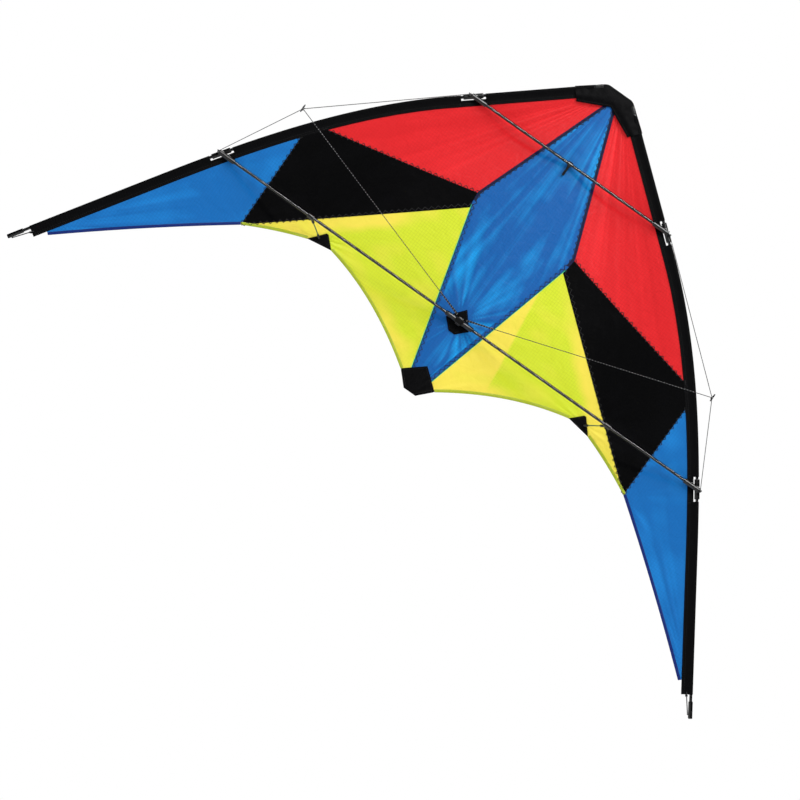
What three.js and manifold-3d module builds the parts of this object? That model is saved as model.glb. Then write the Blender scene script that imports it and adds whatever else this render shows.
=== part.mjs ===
// Two-line delta stunt kite, in flying trim, as the separate pieces it is assembled from.
// Millimetres. X is the span, +Z points to the nose, and the flyer stands on the -Y side.
// A "drop" is a height measured down from the nose along the spine.

import * as THREE from 'three';
import { mergeVertices } from 'three/addons/utils/BufferGeometryUtils.js';
import Module from 'manifold-3d';

const wasm = await Module();
wasm.setup();

// ---------------------------------------------------------------- overall sizes
const HALF_SPAN = 688;          // centre line to the lower corner of the leading-edge sleeve
const TIP_DROP = 762;
const SPINE_LENGTH = 604;
const SPREADER_DROP = 149;      // upper spreader, below the nose
const SPAR_DROP = 474;          // lower spars, below the nose
const BILLOW = 43;              // deepest set-back of the sail, at the stand-offs

// ---------------------------------------------------------------- leading edge
const NOSE_HALF_WIDTH = 26;
const UPPER_BEND = { x: 233, drop: 172 };       // the edge is straight from the nose to here
const TIP_STRAIGHT = { x: 0.192 * HALF_SPAN, drop: 201 };   // and straight again on this run to the tip
const EDGE_FULLNESS = 0.33;                     // handle length of the bent stretch, share of its chord
const TIP_EXTENSION = 36;       // rod that shows below the sleeve
const SLEEVE_WIDTH = 20;
const CLOTH = 0.5;
const BAND_THICKNESS = 1.2;

// ---------------------------------------------------------------- rods and fittings
const ROD_RADIUS = 2.5;
const ROD_BORE = 1.8;
const FERRULE_RADIUS = 1.5;
const FERRULE_LENGTH = 60;
const FERRULE_DROP = SPAR_DROP - 59;
const SPAR_RADIUS = 2.5;
const SPAR_BORE = 1.8;
const WHISKER_RADIUS = 1;
const FITTING_WALL = 1.7;
const FIT = 0.3;                // clearance between pieces that touch
const WEB = 3.5;                // solid stop in the middle of a fitting
const SOCKET_DEPTH = 24;
const CONNECTOR_LENGTH = 34;
const CAP_WALL = 1;
const CAP_CLOSED = 2;           // solid end of a rod's cap
const CAP_GRIP = 12;            // length of rod that a spine cap covers
const STANDOFF_X = HALF_SPAN - 381;     // stand-off fitting, along the lower spar
const STANDOFF_FOOT = { x: STANDOFF_X - 31, drop: 495 };
const STANDOFF_GAP = 2.2;       // from a stand-off's end cap to the patch it bears on
const ROD_PLANE = -7.5;         // depth of the spreader and spars, in front of the sail
const SPINE_PLANE = 6.5;        // depth of the spine, behind the sail

// ---------------------------------------------------------------- sail cut
const SAIL_THICKNESS = 0.6;
const SEAM_GAP = 0.2;           // half the gap between neighbouring panels
const DIAMOND_TOP = { x: 10, drop: 30 };
const DIAMOND_UPPER = { x: 101, drop: 275 };
const DIAMOND_LOWER = { x: 98, drop: 299 };
const DIAMOND_FOOT = { x: 12, rise: 0 };        // rise is measured up from the spine's end
const RED_SEAM_DROP = 340;      // seams where they run under the leading-edge sleeve
const TIP_SEAM_DROP = 362;
const SEAM_FOOT = { x: HALF_SPAN - 289, drop: TIP_DROP - 209 };
const TAIL_CORNER = { x: 35, rise: 24 };
const TAIL_PATCH_RISE = 53;
const PATCH_THICKNESS = 0.6;
const PATCH_GAP = 0.4;
const STANDOFF_PATCH = {
  inner: 28,
  innerDown: 5,
  outer: 17,
  outerDown: 12,
  apexIn: 7,
  apexUp: 14,
  apexHalf: 2,
};
const TEE_PATCH = { above: 24, below: 23, halfWidth: 24, corner: 5, foot: 6 };
const TRAILING_HOLLOW = { yellow: 26, outer: 5, tip: 7 };    // how far the trailing edges curve in
const TIP_PANEL_END = { up: 26, x: -3, drop: 5 };
const NOSE_COVER = { arm: 56, width: 25, top: -1, apexDrop: 30, wall: 0.7 };
const COVER_SLACK = 1.8;        // room between the cover and the leading-edge sleeve

// ---------------------------------------------------------------- bridle
const LINE_RADIUS = 0.6;
const TOW = { x: 400, drop: 350, forward: 340 };
const KNOT_RADIUS = 2.6;
const TOW_LOOP_RADIUS = 9;

const SPINE_TOP_DROP = 10;
const NOSE_CAP_RISE = 2.3;      // of the spine's nose cap, above the rod
const TAIL_CAP_DROP = 6;        // of its tail cap, below the rod
const SPINE_END_DROP = SPINE_TOP_DROP + SPINE_LENGTH;
const TAIL_DROP = SPINE_END_DROP + TAIL_CAP_DROP;
const FITTING_RADIUS = SPAR_RADIUS + FIT + FITTING_WALL;
const AXIS_INSET = ROD_RADIUS + FIT + CLOTH;    // rod axis, inside the sleeve's outer edge

// ---------------------------------------------------------------- helpers
const at = (x, depth, drop) => new THREE.Vector3(x, depth, -drop);

function solid(geometry) {
  const bare = geometry.clone();
  bare.deleteAttribute('normal');
  bare.deleteAttribute('uv');
  const merged = mergeVertices(bare, 1e-4);
  const vertProperties = new Float32Array(merged.attributes.position.array);
  const triVerts = new Uint32Array(merged.index.array);
  return new wasm.Manifold(new wasm.Mesh({ numProp: 3, vertProperties, triVerts }));
}

function geometryOf(manifold) {
  const mesh = manifold.getMesh();
  const geometry = new THREE.BufferGeometry();
  geometry.setAttribute('position', new THREE.BufferAttribute(mesh.vertProperties, 3));
  geometry.setIndex(new THREE.BufferAttribute(mesh.triVerts, 1));
  return geometry;
}

// Joins the first list and cuts the second list out of it.
function shaped(added, removed = []) {
  let body = solid(added[0]);
  for (const piece of added.slice(1)) {
    body = body.add(solid(piece));
  }
  for (const piece of removed) {
    body = body.subtract(solid(piece));
  }
  return geometryOf(body);
}

function cylinderBetween(start, end, radius, sides = 12) {
  const along = end.clone().sub(start);
  const geometry = new THREE.CylinderGeometry(radius, radius, along.length(), sides);
  const turn = new THREE.Quaternion().setFromUnitVectors(
    new THREE.Vector3(0, 1, 0),
    along.clone().normalize(),
  );
  geometry.applyQuaternion(turn);
  const middle = start.clone().add(end).multiplyScalar(0.5);
  return geometry.translate(middle.x, middle.y, middle.z);
}

function boxBetween(low, high) {
  const size = high.clone().sub(low);
  const middle = low.clone().add(high).multiplyScalar(0.5);
  const geometry = new THREE.BoxGeometry(Math.abs(size.x), Math.abs(size.y), Math.abs(size.z));
  return geometry.translate(middle.x, middle.y, middle.z);
}

function circle(radius, sides) {
  const points = [];
  for (let i = 0; i < sides; i += 1) {
    const angle = (2 * Math.PI * (i + 0.5)) / sides;
    points.push(new THREE.Vector2(radius * Math.cos(angle), radius * Math.sin(angle)));
  }
  return points;
}

function sweep(outline, hole, points) {
  const shape = new THREE.Shape(outline);
  if (hole) {
    shape.holes.push(new THREE.Path(hole));
  }
  const extrudePath = new THREE.CatmullRomCurve3(points);
  return new THREE.ExtrudeGeometry(shape, { steps: points.length - 1, extrudePath });
}

function mirrored(geometry) {
  const flipped = geometry.index ? geometry.toNonIndexed() : geometry.clone();
  const place = flipped.attributes.position;
  const first = new THREE.Vector3();
  const second = new THREE.Vector3();
  for (let i = 0; i < place.count; i += 3) {
    first.fromBufferAttribute(place, i + 1);
    second.fromBufferAttribute(place, i + 2);
    place.setX(i, -place.getX(i));
    place.setXYZ(i + 1, -second.x, second.y, second.z);
    place.setXYZ(i + 2, -first.x, first.y, first.z);
  }
  return flipped;
}

// ---------------------------------------------------------------- the curved leading edge
const upperBend = at(UPPER_BEND.x, 0, UPPER_BEND.drop);
const tip = at(HALF_SPAN, 0, TIP_DROP);
const lowerBend = at(HALF_SPAN - TIP_STRAIGHT.x, 0, TIP_DROP - TIP_STRAIGHT.drop);
const nose = at(NOSE_HALF_WIDTH, 0, 0);
const noseWay = upperBend.clone().sub(nose).normalize();
const tipWay = tip.clone().sub(lowerBend).normalize();
const handle = upperBend.distanceTo(lowerBend) * EDGE_FULLNESS;

const edge = new THREE.CurvePath();
edge.add(new THREE.LineCurve3(nose, upperBend));
edge.add(new THREE.CubicBezierCurve3(
  upperBend,
  upperBend.clone().addScaledVector(noseWay, handle),
  lowerBend.clone().addScaledVector(tipWay, -handle),
  lowerBend,
));
edge.add(new THREE.LineCurve3(lowerBend, tip.clone().addScaledVector(tipWay, TIP_EXTENSION)));
const EDGE_LENGTH = edge.getLength();
const SLEEVE_END = EDGE_LENGTH - TIP_EXTENSION;

function edgeWay(along) {
  return edge.getTangentAt(along / EDGE_LENGTH);
}

function edgePoint(along, inset) {
  const way = edgeWay(along);
  const inward = new THREE.Vector3(way.z, 0, -way.x);
  return edge.getPointAt(along / EDGE_LENGTH).addScaledVector(inward, inset);
}

// How far along the edge its inset line has come down to a drop.
function edgeAtDrop(drop, inset) {
  let low = 0;
  let high = EDGE_LENGTH;
  for (let i = 0; i < 40; i += 1) {
    const middle = (low + high) / 2;
    if (-edgePoint(middle, inset).z < drop) {
      low = middle;
    } else {
      high = middle;
    }
  }
  return (low + high) / 2;
}

function edgeRun(from, to, inset, steps) {
  const points = [];
  for (let i = 0; i <= steps; i += 1) {
    points.push(edgePoint(from + ((to - from) * i) / steps, inset));
  }
  return points;
}

const SAIL_INSET = SLEEVE_WIDTH + FIT;
const upperAlong = edgeAtDrop(SPREADER_DROP, AXIS_INSET);
const lowerAlong = edgeAtDrop(SPAR_DROP, AXIS_INSET);
const upperJoint = edgePoint(upperAlong, AXIS_INSET);
const lowerJoint = edgePoint(lowerAlong, AXIS_INSET);

// ---------------------------------------------------------------- cloth
// How far the wind sets the sail back at a place: nothing at the spine and the leading edge.
function setBack(x, drop) {
  const reach = edgePoint(edgeAtDrop(drop, SAIL_INSET), SAIL_INSET).x;
  const share = THREE.MathUtils.clamp(x / reach, 0, 1);
  const fall = Math.min(drop / STANDOFF_FOOT.drop, 1.15);
  return BILLOW * fall * Math.sin(Math.PI * share);
}

// A line's points again, that many of them and evenly spaced. A line that has as many already is kept.
function spaced(points, count) {
  if (points.length === count) {
    return points.map((p) => p.clone());
  }
  const lengths = [0];
  for (let i = 1; i < points.length; i += 1) {
    lengths.push(lengths[i - 1] + points[i].distanceTo(points[i - 1]));
  }
  const placed = [];
  for (let i = 0; i < count; i += 1) {
    const target = (lengths.at(-1) * i) / (count - 1);
    let k = 1;
    while (k < points.length - 1 && lengths[k] < target) {
      k += 1;
    }
    const share = (target - lengths[k - 1]) / (lengths[k] - lengths[k - 1]);
    placed.push(points[k - 1].clone().lerp(points[k], share));
  }
  return placed;
}

function insetLoop(loop, distance) {
  let area = 0;
  loop.forEach((p, i) => {
    const q = loop[(i + 1) % loop.length];
    area += p.x * q.y - q.x * p.y;
  });
  const side = Math.sign(area);
  const normal = (p, q) => new THREE.Vector2(p.y - q.y, q.x - p.x).normalize().multiplyScalar(side);
  return loop.map((p, i) => {
    const before = normal(loop[(i + loop.length - 1) % loop.length], p);
    const after = normal(p, loop[(i + 1) % loop.length]);
    const share = distance / (1 + before.dot(after));
    return p.clone().addScaledVector(before, share).addScaledVector(after, share);
  });
}

// A sheet of cloth between two edge lines, each a list of (x, drop) points, set back by the wind.
function panel(firstEdge, secondEdge, along, across, forward = 0, thickness = SAIL_THICKNESS) {
  const start = spaced(firstEdge, along);
  const end = spaced(secondEdge, along);
  const grid = start.map((p, i) => Array.from({ length: across }, (_, j) => (
    p.clone().lerp(end[i], j / (across - 1)))));
  const rim = [];
  for (let j = 0; j < across; j += 1) {
    rim.push([0, j]);
  }
  for (let i = 1; i < along; i += 1) {
    rim.push([i, across - 1]);
  }
  for (let j = across - 2; j >= 0; j -= 1) {
    rim.push([along - 1, j]);
  }
  for (let i = along - 2; i > 0; i -= 1) {
    rim.push([i, 0]);
  }
  const loop = insetLoop(rim.map(([i, j]) => grid[i][j]), SEAM_GAP);
  rim.forEach(([i, j], k) => {
    grid[i][j] = loop[k];
  });

  const positions = [];
  for (const face of [-0.5, 0.5]) {
    for (const p of grid.flat()) {
      positions.push(p.x, setBack(p.x, p.y) - forward + face * thickness, -p.y);
    }
  }
  const number = ([i, j]) => i * across + j;
  const layer = along * across;
  const index = [];
  const quad = (a, b, c, d) => index.push(a, b, c, a, c, d);
  for (let i = 0; i < along - 1; i += 1) {
    for (let j = 0; j < across - 1; j += 1) {
      const corners = [[i, j], [i, j + 1], [i + 1, j + 1], [i + 1, j]].map(number);
      quad(...corners);
      quad(...corners.map((n) => n + layer).reverse());
    }
  }
  rim.forEach((place, k) => {
    const a = number(place);
    const b = number(rim[(k + 1) % rim.length]);
    quad(a, a + layer, b + layer, b);
  });
  const geometry = new THREE.BufferGeometry();
  geometry.setAttribute('position', new THREE.Float32BufferAttribute(positions, 3));
  geometry.setIndex(index);
  return facingOut(geometry);
}

// Turns a closed mesh the right way out by the sign of its volume.
function facingOut(geometry) {
  const place = geometry.attributes.position;
  const index = geometry.index.array;
  const corner = (i) => new THREE.Vector3().fromBufferAttribute(place, index[i]);
  let volume = 0;
  for (let i = 0; i < index.length; i += 3) {
    volume += corner(i).dot(corner(i + 1).cross(corner(i + 2)));
  }
  if (volume < 0) {
    for (let i = 0; i < index.length; i += 3) {
      [index[i + 1], index[i + 2]] = [index[i + 2], index[i + 1]];
    }
  }
  return geometry;
}

function flatPatch(outline, front, back) {
  const loop = insetLoop(outline, SEAM_GAP);
  const shape = new THREE.Shape(loop.map((p) => new THREE.Vector2(p.x, -p.y)));
  const geometry = new THREE.ExtrudeGeometry(shape, { depth: back - front, bevelEnabled: false });
  return geometry.rotateX(Math.PI / 2).translate(0, back, 0);
}

const spot = (x, drop) => new THREE.Vector2(x, drop);
const spots = (points) => points.map((p) => spot(p.x, -p.z));

// ---------------------------------------------------------------- materials
const material = (color, roughness, metalness = 0) => (
  new THREE.MeshStandardMaterial({ color, roughness, metalness }));

const carbon = material(0x1b1b1e, 0.32, 0.1);
const glassFibre = material(0x6e8a62, 0.45);
const vinyl = material(0x0b0b0c, 0.38);
const alloy = material(0xb4b6ba, 0.35, 1);
const webbing = material(0x0c0c0e, 0.85);
const redCloth = material(0xe0191f, 0.6);
const blueCloth = material(0x0067b4, 0.6);
const yellowCloth = material(0xe2e23a, 0.6);
const blackCloth = material(0x09090b, 0.65);
const bridleLine = material(0x2a2a2e, 0.8);

// ---------------------------------------------------------------- assembly
const kite = new THREE.Group();
kite.position.set(0, TOW.forward, TOW.drop);
const leftSide = new THREE.Group();
const rightSide = new THREE.Group();
kite.add(leftSide, rightSide);

function place(group, name, geometry, look, anchor) {
  const mesh = new THREE.Mesh(geometry.clone().translate(-anchor.x, -anchor.y, -anchor.z), look);
  mesh.name = name;
  mesh.position.copy(anchor);
  group.add(mesh);
}

// Drawn for the wing on the +X side, with its mirror image on the other.
function pair(name, geometry, look, anchor) {
  place(rightSide, `right_${name}`, geometry, look, anchor);
  const across = anchor.clone().setX(-anchor.x);
  place(leftSide, `left_${name}`, mirrored(geometry), look, across);
}

// ---------------------------------------------------------------- spine and its fittings
function cupCap(from, to, inner, closed) {
  const outer = inner + CAP_WALL;
  const way = to.clone().sub(from).normalize();
  return shaped(
    [cylinderBetween(from, to, outer)],
    [cylinderBetween(
      from.clone().addScaledVector(way, -1),
      to.clone().addScaledVector(way, -closed),
      inner,
    )],
  );
}

function spine() {
  const top = at(0, SPINE_PLANE, SPINE_TOP_DROP);
  const end = at(0, SPINE_PLANE, SPINE_END_DROP);
  const rod = shaped(
    [cylinderBetween(top, end, ROD_RADIUS, 10)],
    [cylinderBetween(at(0, SPINE_PLANE, 0), at(0, SPINE_PLANE, TAIL_DROP), ROD_BORE, 10)],
  );
  place(kite, 'spine_rod', rod, carbon, at(0, SPINE_PLANE, SPAR_DROP));
  const bore = ROD_RADIUS + FIT;
  const noseCap = cupCap(
    at(0, SPINE_PLANE, SPINE_TOP_DROP + CAP_GRIP),
    at(0, SPINE_PLANE, SPINE_TOP_DROP - NOSE_CAP_RISE),
    bore,
    CAP_CLOSED,
  );
  place(kite, 'spine_nose_cap', noseCap, vinyl, top);
  const tailCap = cupCap(
    at(0, SPINE_PLANE, SPINE_END_DROP - CAP_GRIP),
    at(0, SPINE_PLANE, TAIL_DROP),
    bore,
    TAIL_CAP_DROP - FIT,
  );
  place(kite, 'spine_tail_cap', tailCap, vinyl, end);
}

// Where a fitting on the spine reaches through the sail.
const TEE_NECK = { half: 4.5, up: 7 };
const KEEPER_NECK = { half: 2.2, above: -3, below: 22 };
const WINDOW_SLACK = 1;
const TEE_BOSS = { half: 7, up: 5, forward: 5.6 };
const TEE_SLEEVE_HALF = 15;
const KEEPER_SLEEVE_END = 24;
const KEEPER_HALF = 4;
const CLEAR = 1;                // a cutter runs this far past what it cuts

function neckBox(neck, drop, above, below, slack) {
  return boxBetween(
    at(-neck.half - slack, ROD_PLANE, drop + below + slack),
    at(neck.half + slack, SPINE_PLANE, drop - above - slack),
  );
}

function centreTee() {
  const arm = SOCKET_DEPTH + WEB;
  const bore = SPAR_RADIUS + FIT;
  const tee = shaped(
    [
      cylinderBetween(
        at(0, SPINE_PLANE, SPAR_DROP - TEE_SLEEVE_HALF),
        at(0, SPINE_PLANE, SPAR_DROP + TEE_SLEEVE_HALF),
        FITTING_RADIUS,
      ),
      cylinderBetween(at(-arm, ROD_PLANE, SPAR_DROP), at(arm, ROD_PLANE, SPAR_DROP), FITTING_RADIUS),
      neckBox(TEE_NECK, SPAR_DROP, TEE_NECK.up, TEE_NECK.up, 0),
      boxBetween(
        at(-TEE_BOSS.half, ROD_PLANE - TEE_BOSS.forward, SPAR_DROP + TEE_BOSS.up),
        at(TEE_BOSS.half, ROD_PLANE, SPAR_DROP - TEE_BOSS.up),
      ),
    ],
    [
      cylinderBetween(
        at(0, SPINE_PLANE, SPAR_DROP - TEE_SLEEVE_HALF - CLEAR),
        at(0, SPINE_PLANE, SPAR_DROP + TEE_SLEEVE_HALF + CLEAR),
        ROD_RADIUS + FIT,
      ),
      cylinderBetween(at(WEB, ROD_PLANE, SPAR_DROP), at(arm + CLEAR, ROD_PLANE, SPAR_DROP), bore),
      cylinderBetween(at(-arm - CLEAR, ROD_PLANE, SPAR_DROP), at(-WEB, ROD_PLANE, SPAR_DROP), bore),
    ],
  );
  place(kite, 'centre_tee', tee, vinyl, at(0, ROD_PLANE, SPAR_DROP));
}

function upperSpreader() {
  const end = upperJoint.x - WEB - 2 * FIT;
  const rod = shaped(
    [cylinderBetween(
      at(-end, ROD_PLANE, SPREADER_DROP),
      at(end, ROD_PLANE, SPREADER_DROP),
      SPAR_RADIUS,
      10,
    )],
    [cylinderBetween(
      at(-end - CLEAR, ROD_PLANE, SPREADER_DROP),
      at(end + CLEAR, ROD_PLANE, SPREADER_DROP),
      SPAR_BORE,
      10,
    )],
  );
  place(kite, 'upper_spreader', rod, carbon, at(0, ROD_PLANE, SPREADER_DROP));

  const keeper = shaped(
    [
      cylinderBetween(
        at(0, SPINE_PLANE, SPREADER_DROP - KEEPER_NECK.above),
        at(0, SPINE_PLANE, SPREADER_DROP + KEEPER_SLEEVE_END),
        FITTING_RADIUS,
      ),
      neckBox(KEEPER_NECK, SPREADER_DROP, KEEPER_NECK.above, KEEPER_NECK.below, 0),
      cylinderBetween(
        at(-KEEPER_HALF, ROD_PLANE, SPREADER_DROP),
        at(KEEPER_HALF, ROD_PLANE, SPREADER_DROP),
        FITTING_RADIUS,
      ),
    ],
    [
      cylinderBetween(
        at(0, SPINE_PLANE, SPREADER_DROP - SOCKET_DEPTH),
        at(0, SPINE_PLANE, SPREADER_DROP + KEEPER_SLEEVE_END + CLEAR),
        ROD_RADIUS + FIT,
      ),
      cylinderBetween(
        at(-KEEPER_HALF - CLEAR - FITTING_RADIUS, ROD_PLANE, SPREADER_DROP),
        at(KEEPER_HALF + CLEAR + FITTING_RADIUS, ROD_PLANE, SPREADER_DROP),
        SPAR_RADIUS + FIT,
      ),
    ],
  );
  place(kite, 'spreader_keeper', keeper, vinyl, at(0, ROD_PLANE, SPREADER_DROP));
}

// ---------------------------------------------------------------- leading edges
const NOSE_CAP_ALONG = 8;
const NOSE_CAP_LENGTH = 13;
const SLEEVE_START = 24;
const ROD_END_UP = 4;           // lower rod's end, above the end of the edge
const NOCK = { above: 24, past: 5, slotRadius: 1.1, cordUp: 7 };
const CORD_RADIUS = 0.8;
const CORD_FOOT_DOWN = 1.5;     // clear of the sleeve's end

function leadingEdges() {
  const axis = (along) => edgePoint(along, AXIS_INSET);
  const ferruleAlong = edgeAtDrop(FERRULE_DROP, AXIS_INSET);
  const rodEnd = EDGE_LENGTH - ROD_END_UP;
  const ring = [circle(ROD_RADIUS, 10), circle(ROD_BORE, 10)];
  const runs = [
    ['upper_leading_rod', NOSE_CAP_ALONG + CAP_CLOSED, ferruleAlong - FIT / 2, 40],
    ['lower_leading_rod', ferruleAlong + FIT / 2, rodEnd, 28],
  ];
  for (const [name, from, to, steps] of runs) {
    const rod = sweep(...ring, edgeRun(from, to, AXIS_INSET, steps));
    pair(name, rod, carbon, axis((from + to) / 2));
  }

  const ferrule = cylinderBetween(
    axis(ferruleAlong - FERRULE_LENGTH / 2),
    axis(ferruleAlong + FERRULE_LENGTH / 2),
    FERRULE_RADIUS,
    8,
  );
  const sag = axis(ferruleAlong).distanceTo(
    axis(ferruleAlong - FERRULE_LENGTH / 2).add(axis(ferruleAlong + FERRULE_LENGTH / 2)).divideScalar(2),
  );
  const way = edgeWay(ferruleAlong);
  ferrule.translate(-way.z * sag * 0.5, 0, way.x * sag * 0.5);
  pair('leading_ferrule', ferrule, alloy, axis(ferruleAlong));

  const capFoot = axis(NOSE_CAP_ALONG + NOSE_CAP_LENGTH);
  const noseCap = cupCap(capFoot, axis(NOSE_CAP_ALONG), ROD_RADIUS + FIT, CAP_CLOSED - FIT);
  pair('leading_nose_cap', noseCap, vinyl, axis(NOSE_CAP_ALONG));

  const nockFrom = EDGE_LENGTH - NOCK.above;
  const nockTo = EDGE_LENGTH + NOCK.past;
  const tipWayEnd = edgeWay(EDGE_LENGTH);
  const past = axis(EDGE_LENGTH).addScaledVector(tipWayEnd, nockTo - EDGE_LENGTH);
  const plain = cupCap(axis(nockFrom), past, ROD_RADIUS + FIT, nockTo - rodEnd - FIT);
  const across = new THREE.Vector3(-tipWayEnd.z, 0, tipWayEnd.x);
  const slot = cylinderBetween(
    past.clone().addScaledVector(across, -FITTING_RADIUS),
    past.clone().addScaledVector(across, FITTING_RADIUS),
    NOCK.slotRadius,
    8,
  );
  pair('tip_nock', shaped([plain], [slot]), vinyl, past);

  const beside = -(ROD_RADIUS + CAP_WALL + 2 * FIT + CORD_RADIUS);
  const nockSide = axis(EDGE_LENGTH - NOCK.cordUp).addScaledVector(across, beside);
  const cordFoot = edgePoint(SLEEVE_END + CORD_FOOT_DOWN, SLEEVE_WIDTH / 2);
  pair('tip_cord', cylinderBetween(cordFoot, nockSide, CORD_RADIUS, 8), bridleLine, cordFoot);
}

const WINDOW_MARGIN = 4;        // of a sleeve's window, past each end of the connector

function sleeves() {
  const bandEnd = SLEEVE_WIDTH - AXIS_INSET;
  const half = BAND_THICKNESS / 2;
  const outline = [new THREE.Vector2(half, bandEnd), new THREE.Vector2(-half, bandEnd)];
  const open = Math.asin(half / AXIS_INSET);
  const arcSteps = 10;
  for (let i = 0; i <= arcSteps; i += 1) {
    const angle = Math.PI / 2 + open + ((2 * Math.PI - 2 * open) * i) / arcSteps;
    outline.push(new THREE.Vector2(AXIS_INSET * Math.cos(angle), AXIS_INSET * Math.sin(angle)));
  }
  const hole = circle(ROD_RADIUS + FIT, 12).reverse();
  const band = sweep(outline, hole, edgeRun(SLEEVE_START, SLEEVE_END, AXIS_INSET, 60));
  const windows = [upperAlong, lowerAlong].map((along) => {
    const way = edgeWay(along);
    const inward = new THREE.Vector3(way.z, 0, -way.x);
    const reach = FITTING_RADIUS + FIT + CLEAR;
    const depth = reach + AXIS_INSET + CLEAR;
    const size = CONNECTOR_LENGTH + 2 * WINDOW_MARGIN;
    const box = new THREE.BoxGeometry(depth, 2 * SLEEVE_WIDTH, size);
    box.applyQuaternion(new THREE.Quaternion().setFromUnitVectors(new THREE.Vector3(0, 0, 1), way));
    const middle = edgePoint(along, AXIS_INSET).addScaledVector(inward, reach - depth / 2);
    return box.translate(middle.x, middle.y, middle.z);
  });
  pair('leading_sleeve', shaped([band], windows), webbing, edgePoint(SLEEVE_END / 2, AXIS_INSET));
}

// A moulded joint: a tube round the leading-edge rod and a blind socket for a cross rod.
const NECK_TAPER = 0.4;

function connector(name, joint, along) {
  const half = CONNECTOR_LENGTH / 2;
  const tube = (reach, radius) => (
    sweep(circle(radius, 12), null, edgeRun(along - reach, along + reach, AXIS_INSET, 8)));
  const drop = -joint.z;
  const socketIn = joint.x - SOCKET_DEPTH - WEB;
  const body = shaped(
    [
      tube(half, ROD_RADIUS + FIT + FITTING_WALL),
      cylinderBetween(at(socketIn, ROD_PLANE, drop), at(joint.x + WEB, ROD_PLANE, drop), FITTING_RADIUS),
      cylinderBetween(at(joint.x, ROD_PLANE, drop), joint, FITTING_RADIUS - NECK_TAPER),
    ],
    [
      tube(half + CLEAR, ROD_RADIUS + FIT),
      cylinderBetween(
        at(socketIn - CLEAR, ROD_PLANE, drop),
        at(joint.x - WEB, ROD_PLANE, drop),
        SPAR_RADIUS + FIT,
      ),
    ],
  );
  pair(name, body, vinyl, joint);
}

function lowerSpars() {
  const from = at(WEB + 2 * FIT, ROD_PLANE, SPAR_DROP);
  const to = at(lowerJoint.x - WEB - 2 * FIT, ROD_PLANE, SPAR_DROP);
  const past = new THREE.Vector3(CLEAR, 0, 0);
  const spar = shaped(
    [cylinderBetween(from, to, SPAR_RADIUS, 10)],
    [cylinderBetween(from.clone().sub(past), to.clone().add(past), SPAR_BORE, 10)],
  );
  pair('lower_spar', spar, carbon, to);
}

// ---------------------------------------------------------------- stand-offs
const STUB = { half: 6, length: 17, wall: 1.2, base: 0.5 };
const END_CAP = { length: 11, wall: 0.7, closed: 2 };

function standoffs() {
  const hub = at(STANDOFF_X, ROD_PLANE, SPAR_DROP);
  const patchFront = setBack(STANDOFF_FOOT.x, STANDOFF_FOOT.drop) - SAIL_THICKNESS / 2
    - PATCH_GAP - PATCH_THICKNESS;
  const foot = at(STANDOFF_FOOT.x, patchFront - STANDOFF_GAP, STANDOFF_FOOT.drop);
  const way = foot.clone().sub(hub).normalize();
  const length = foot.distanceTo(hub);
  const spotOn = (distance) => hub.clone().addScaledVector(way, distance);
  const along = new THREE.Vector3(STUB.half, 0, 0);
  const bore = WHISKER_RADIUS + FIT;
  const stop = FITTING_RADIUS + STUB.base;
  const fitting = shaped(
    [
      cylinderBetween(hub.clone().sub(along), hub.clone().add(along), FITTING_RADIUS),
      cylinderBetween(spotOn(SPAR_RADIUS + CLEAR), spotOn(STUB.length), bore + STUB.wall, 10),
    ],
    [
      cylinderBetween(
        hub.clone().addScaledVector(along, -2),
        hub.clone().addScaledVector(along, 2),
        SPAR_RADIUS + FIT,
      ),
      cylinderBetween(spotOn(stop), spotOn(STUB.length + CLEAR), bore, 10),
    ],
  );
  pair('standoff_fitting', fitting, vinyl, hub);

  const whisker = cylinderBetween(spotOn(stop + FIT), spotOn(length - END_CAP.closed), WHISKER_RADIUS, 8);
  pair('standoff_rod', whisker, glassFibre, hub);
  const cap = shaped(
    [cylinderBetween(spotOn(length - END_CAP.length), foot, bore + END_CAP.wall, 10)],
    [cylinderBetween(
      spotOn(length - END_CAP.length - CLEAR),
      spotOn(length - END_CAP.closed + FIT),
      bore,
      10,
    )],
  );
  pair('standoff_end_cap', cap, vinyl, foot);
}

// ---------------------------------------------------------------- sail
function trailingEdge() {
  const tail = spot(TAIL_CORNER.x, TAIL_DROP - TAIL_CORNER.rise);
  const { inner, innerDown, outer, outerDown } = STANDOFF_PATCH;
  const standIn = spot(STANDOFF_FOOT.x - inner, STANDOFF_FOOT.drop + innerDown);
  const standOut = spot(STANDOFF_FOOT.x + outer, STANDOFF_FOOT.drop + outerDown);
  const foot = spot(SEAM_FOOT.x, SEAM_FOOT.drop);
  const hollow = (a, b, depth) => {
    const middle = a.clone().add(b).divideScalar(2);
    middle.y -= depth;
    return new THREE.QuadraticBezierCurve(a, middle, b);
  };
  return { tail, standIn, standOut, foot, hollow };
}

const SEAM_FOOT_RISE = 4;       // corner of the black and yellow panels, above the tip panel's
const TAIL_SEAM_UP = 10;        // yellow panel's lowest corner, above the tail corner

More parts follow.
